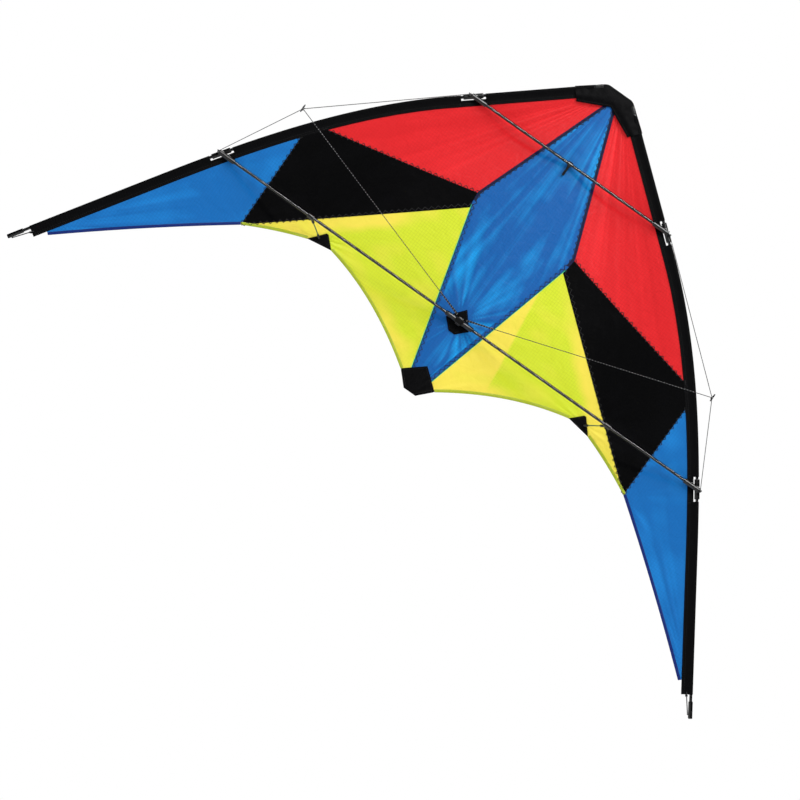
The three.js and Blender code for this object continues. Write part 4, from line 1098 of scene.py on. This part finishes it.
# ---------------------------------------------------------------- bridle
def make_bridle(side_name):
    """Three taut legs of line from the frame to a tow loop, with their knots and hitches."""
    side = SIDES[side_name]
    sizes = bpy.context.scene.kite_sizes
    radius = sizes.line / 2
    tow = place(*TOW, side)
    upper, lower = EDGE.point(UPPER_ALONG, AXIS_INSET), EDGE.point(LOWER_ALONG, AXIS_INSET)
    beside = 6 * MM
    starts = {
        "upper": place(upper.x + beside, ROD_PLANE, upper.y, side),
        "lower": place(lower.x + beside, ROD_PLANE, lower.y, side),
        "centre": place(10 * MM, ROD_PLANE - 2 * MM, SPAR_DROP - 8 * MM, side),
    }
    loop = Shape()
    tall, wide = 9 * MM, 6.5 * MM
    middle = tow - Vector((0, tall + 1.6 * MM, 0))
    turns = [2 * math.pi * k / 36 for k in range(36)]
    ring = [middle + Vector((0, math.cos(t) * tall, math.sin(t) * wide)) for t in turns]
    loop.rings(ring, radius * 1.2, 10, loop=True, up=Vector((1, 0, 0)))
    knot(loop, tow, 2.3 * MM, radius * 1.25, 0.8)
    loop = loop.make(side_name + "_tow_loop_line", "line", "bridle_line", 60)
    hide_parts(side_name + "_tow_loop")
    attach(loop, side_name + "_wing")
    hitches = Shape()
    for part, start in starts.items():
        way = (tow - start).normalized()
        end = tow - way * 2.9 * MM
        path = spaced([start, end], 16)
        leg = Shape().rings(path, radius, 8).make(f"{side_name}_{part}_bridle", "line", "bridle_line", 60)
        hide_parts(f"{side_name}_bridle_{part}_leg")
        if part == "centre":
            turn_at_spine(leg)
        else:
            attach(leg, side_name + "_wing")
            knot(hitches, start + way * 1.5 * MM, 2.4 * MM, radius * 1.2, 0.4)
    # the centre leg starts as a doubled bight with a knot a hand's width from the tee
    start = starts["centre"]
    bight_end = start + (tow - start).normalized() * 58 * MM
    for shift in (-1.3 * MM, 1.3 * MM):
        spread = Vector((0, 0, shift))
        hitches.rings(spaced([start + spread, bight_end + spread * 0.4], 8), radius * 0.9, 8)
    knot(hitches, bight_end, 2.2 * MM, radius * 1.2, 0.2)
    made = hitches.make(side_name + "_bridle_hitches", "line", "bridle_line", 60)
    turn_at_spine(made)


# ---------------------------------------------------------------- studio
def make_stage(context):
    """The camera, lamps, pale floor and white surroundings."""
    scene = context.scene
    scene.view_settings.view_transform = "Standard"
    middle = Vector((-0.005, SAIL_Y, -0.2906))
    distance, shown, roll = 6.0, 1.355, math.radians(35.24)
    lens_data = bpy.data.cameras.new("Camera")
    lens_data.lens = lens_data.sensor_width * distance / shown
    camera = bpy.data.objects.new("Camera", lens_data)
    scene.collection.objects.link(camera)
    up = Vector((-math.sin(roll), 0, math.cos(roll)))
    right = Vector((math.cos(roll), 0, math.sin(roll)))
    turned = Matrix((right, up, right.cross(up))).transposed().to_4x4()
    camera.matrix_world = Matrix.Translation(middle - Vector((0, distance, 0))) @ turned
    scene.camera = camera

    work = bmesh.new()
    bmesh.ops.create_grid(work, x_segments=8, y_segments=8, size=4.0)
    mesh = bpy.data.meshes.new("floor")
    work.to_mesh(mesh)
    work.free()
    floor = bpy.data.objects.new("floor", mesh)
    floor.location = (0, -1.9, -1.65)
    scene.collection.objects.link(floor)
    paint, tree = new_material("pale floor paint")
    speck = add(tree, "TexNoise", {"Scale": SPECKS}, "Fac")
    tones = {0: speck, 6: rgba(linear("#EDEDEB")), 7: rgba(linear("#F4F4F2"))}
    finish(tree, {"Base Color": add(tree, "Mix", tones, 2, data_type="RGBA"), "Roughness": 0.9})
    mesh.materials.append(paint)

    world = bpy.data.worlds.new("Studio")
    world.use_nodes = True
    tree = world.node_tree
    tree.nodes.clear()
    seen = add(tree, "Background", {"Color": (1, 1, 1, 1), "Strength": 1.0})
    fill = add(tree, "Background", {"Color": (0.93, 0.96, 1, 1), "Strength": 0.42})
    # reflections see a dark room, so that black pieces stay black between their highlights
    dark = add(tree, "Background", {"Color": (1, 1, 1, 1), "Strength": 0.012})
    mirrored = add(tree, "LightPath", {}, "Is Glossy Ray")
    lit = add(tree, "MixShader", {0: mirrored, 1: fill, 2: dark})
    viewed = mirrored.node.outputs["Is Camera Ray"]
    add(tree, "OutputWorld", {"Surface": add(tree, "MixShader", {0: viewed, 1: lit, 2: seen})})
    scene.world = world

    centre = Vector((0, SAIL_Y, NOSE_Z - 0.4))
    # the large lamps light the cloth, and two thin strips make the highlights on rods and mouldings
    lamps = (
        ("key", right * 1.8 + up * 1.5 + Vector((0, -2.4, 0)), 2.4, 2.4, 98, False),
        ("fill", right * -2.4 + up * 0.2 + Vector((0, -2.6, 0)), 2.4, 2.4, 30, False),
        ("back", Vector((0.4, 2.8, 1.9)), 2.0, 2.0, 75, False),
        ("glint", Vector((0.2, -2.4, 2.2)), 2.6, 0.2, 170, True),
        ("back glint", Vector((0, 2.4, 2.0)), 2.6, 0.3, 70, True),
    )
    for name, offset, width, height, power, shiny in lamps:
        data = bpy.data.lights.new(name, "AREA")
        data.shape = "RECTANGLE"
        data.size, data.size_y, data.energy = width, height, power
        lamp = bpy.data.objects.new(name, data)
        lamp.location = centre + offset
        lamp.rotation_mode = "QUATERNION"
        lamp.rotation_quaternion = (-offset).to_track_quat("-Z", "Y")
        lamp.visible_glossy, lamp.visible_diffuse = shiny, not shiny
        scene.collection.objects.link(lamp)


# ---------------------------------------------------------------- operators
class KITE_OT_stage(bpy.types.Operator):
    """Add the camera, lamps, floor and surroundings"""

    bl_idname = "kite.stage"
    bl_label = "Studio"
    bl_options = {"REGISTER", "UNDO"}

    def execute(self, context):
        """Builds the studio."""
        make_stage(context)
        return {"FINISHED"}


class KITE_OT_bridle(bpy.types.Operator):
    """Add the bridle legs, their hitches and the tow loops"""

    bl_idname = "kite.bridle"
    bl_label = "Bridle"
    bl_options = {"REGISTER", "UNDO"}

    def execute(self, context):
        """Builds both sides of the bridle."""
        make_materials(context)
        for side_name in SIDES:
            make_bridle(side_name)
        return {"FINISHED"}


class KITE_OT_sail(bpy.types.Operator):
    """Add the sail's panels, hems and seams"""

    bl_idname = "kite.sail"
    bl_label = "Sail"
    bl_options = {"REGISTER", "UNDO"}

    def execute(self, context):
        """Builds both wings of the sail."""
        make_materials(context)
        for side_name in SIDES:
            make_sail(side_name)
            make_hems(side_name)
            make_stitching(side_name)
        return {"FINISHED"}


class KITE_OT_tapes(bpy.types.Operator):
    """Add the leading-edge sleeves, the patches and the nose cover"""

    bl_idname = "kite.tapes"
    bl_label = "Tapes"
    bl_options = {"REGISTER", "UNDO"}

    def execute(self, context):
        """Builds the tape work of both wings."""
        make_materials(context)
        for side_name in SIDES:
            make_sleeves(side_name)
            make_sleeve_stitching(side_name)
            make_patches(side_name)
            make_nose_cover(side_name)
        return {"FINISHED"}


class KITE_OT_frame(bpy.types.Operator):
    """Add the rods, the vinyl fittings and the tip cords"""

    bl_idname = "kite.frame"
    bl_label = "Rods and Fittings"
    bl_options = {"REGISTER", "UNDO"}

    def execute(self, context):
        """Builds the rods and what joins them."""
        make_materials(context)
        make_rods()
        make_fittings()
        for side_name in SIDES:
            make_tip_cords(side_name)
        return {"FINISHED"}


OPERATORS = (KITE_OT_stage, KITE_OT_bridle, KITE_OT_sail, KITE_OT_tapes, KITE_OT_frame)


class KITE_PT_panel(bpy.types.Panel):
    """The kite's pieces, sizes and colours in the sidebar"""

    bl_idname = "KITE_PT_panel"
    bl_label = "Delta Stunt Kite"
    bl_space_type = "VIEW_3D"
    bl_region_type = "UI"
    bl_category = "Kite"

    def draw(self, context):
        """Lists the operators, then the sizes and colours."""
        for operator in OPERATORS:
            self.layout.operator(operator.bl_idname)
        for group in (context.scene.kite_sizes, context.scene.kite_colours):
            box = self.layout.box()
            for name in group.__annotations__:
                box.prop(group, name)


CLASSES = (KiteSizes, KiteColours, *OPERATORS, KITE_PT_panel)


def register():
    """Registers the classes and the scene's settings."""
    for item in CLASSES:
        bpy.utils.register_class(item)
    bpy.types.Scene.kite_sizes = PointerProperty(type=KiteSizes)
    bpy.types.Scene.kite_colours = PointerProperty(type=KiteColours)


def unregister():
    """Takes them away again."""
    del bpy.types.Scene.kite_colours
    del bpy.types.Scene.kite_sizes
    for item in reversed(CLASSES):
        bpy.utils.unregister_class(item)


def main():
    """Builds the whole kite."""
    register()
    bpy.ops.kite.stage()
    bpy.ops.kite.bridle()
    bpy.ops.kite.sail()
    bpy.ops.kite.tapes()
    bpy.ops.kite.frame()


if __name__ == "__main__":
    main()
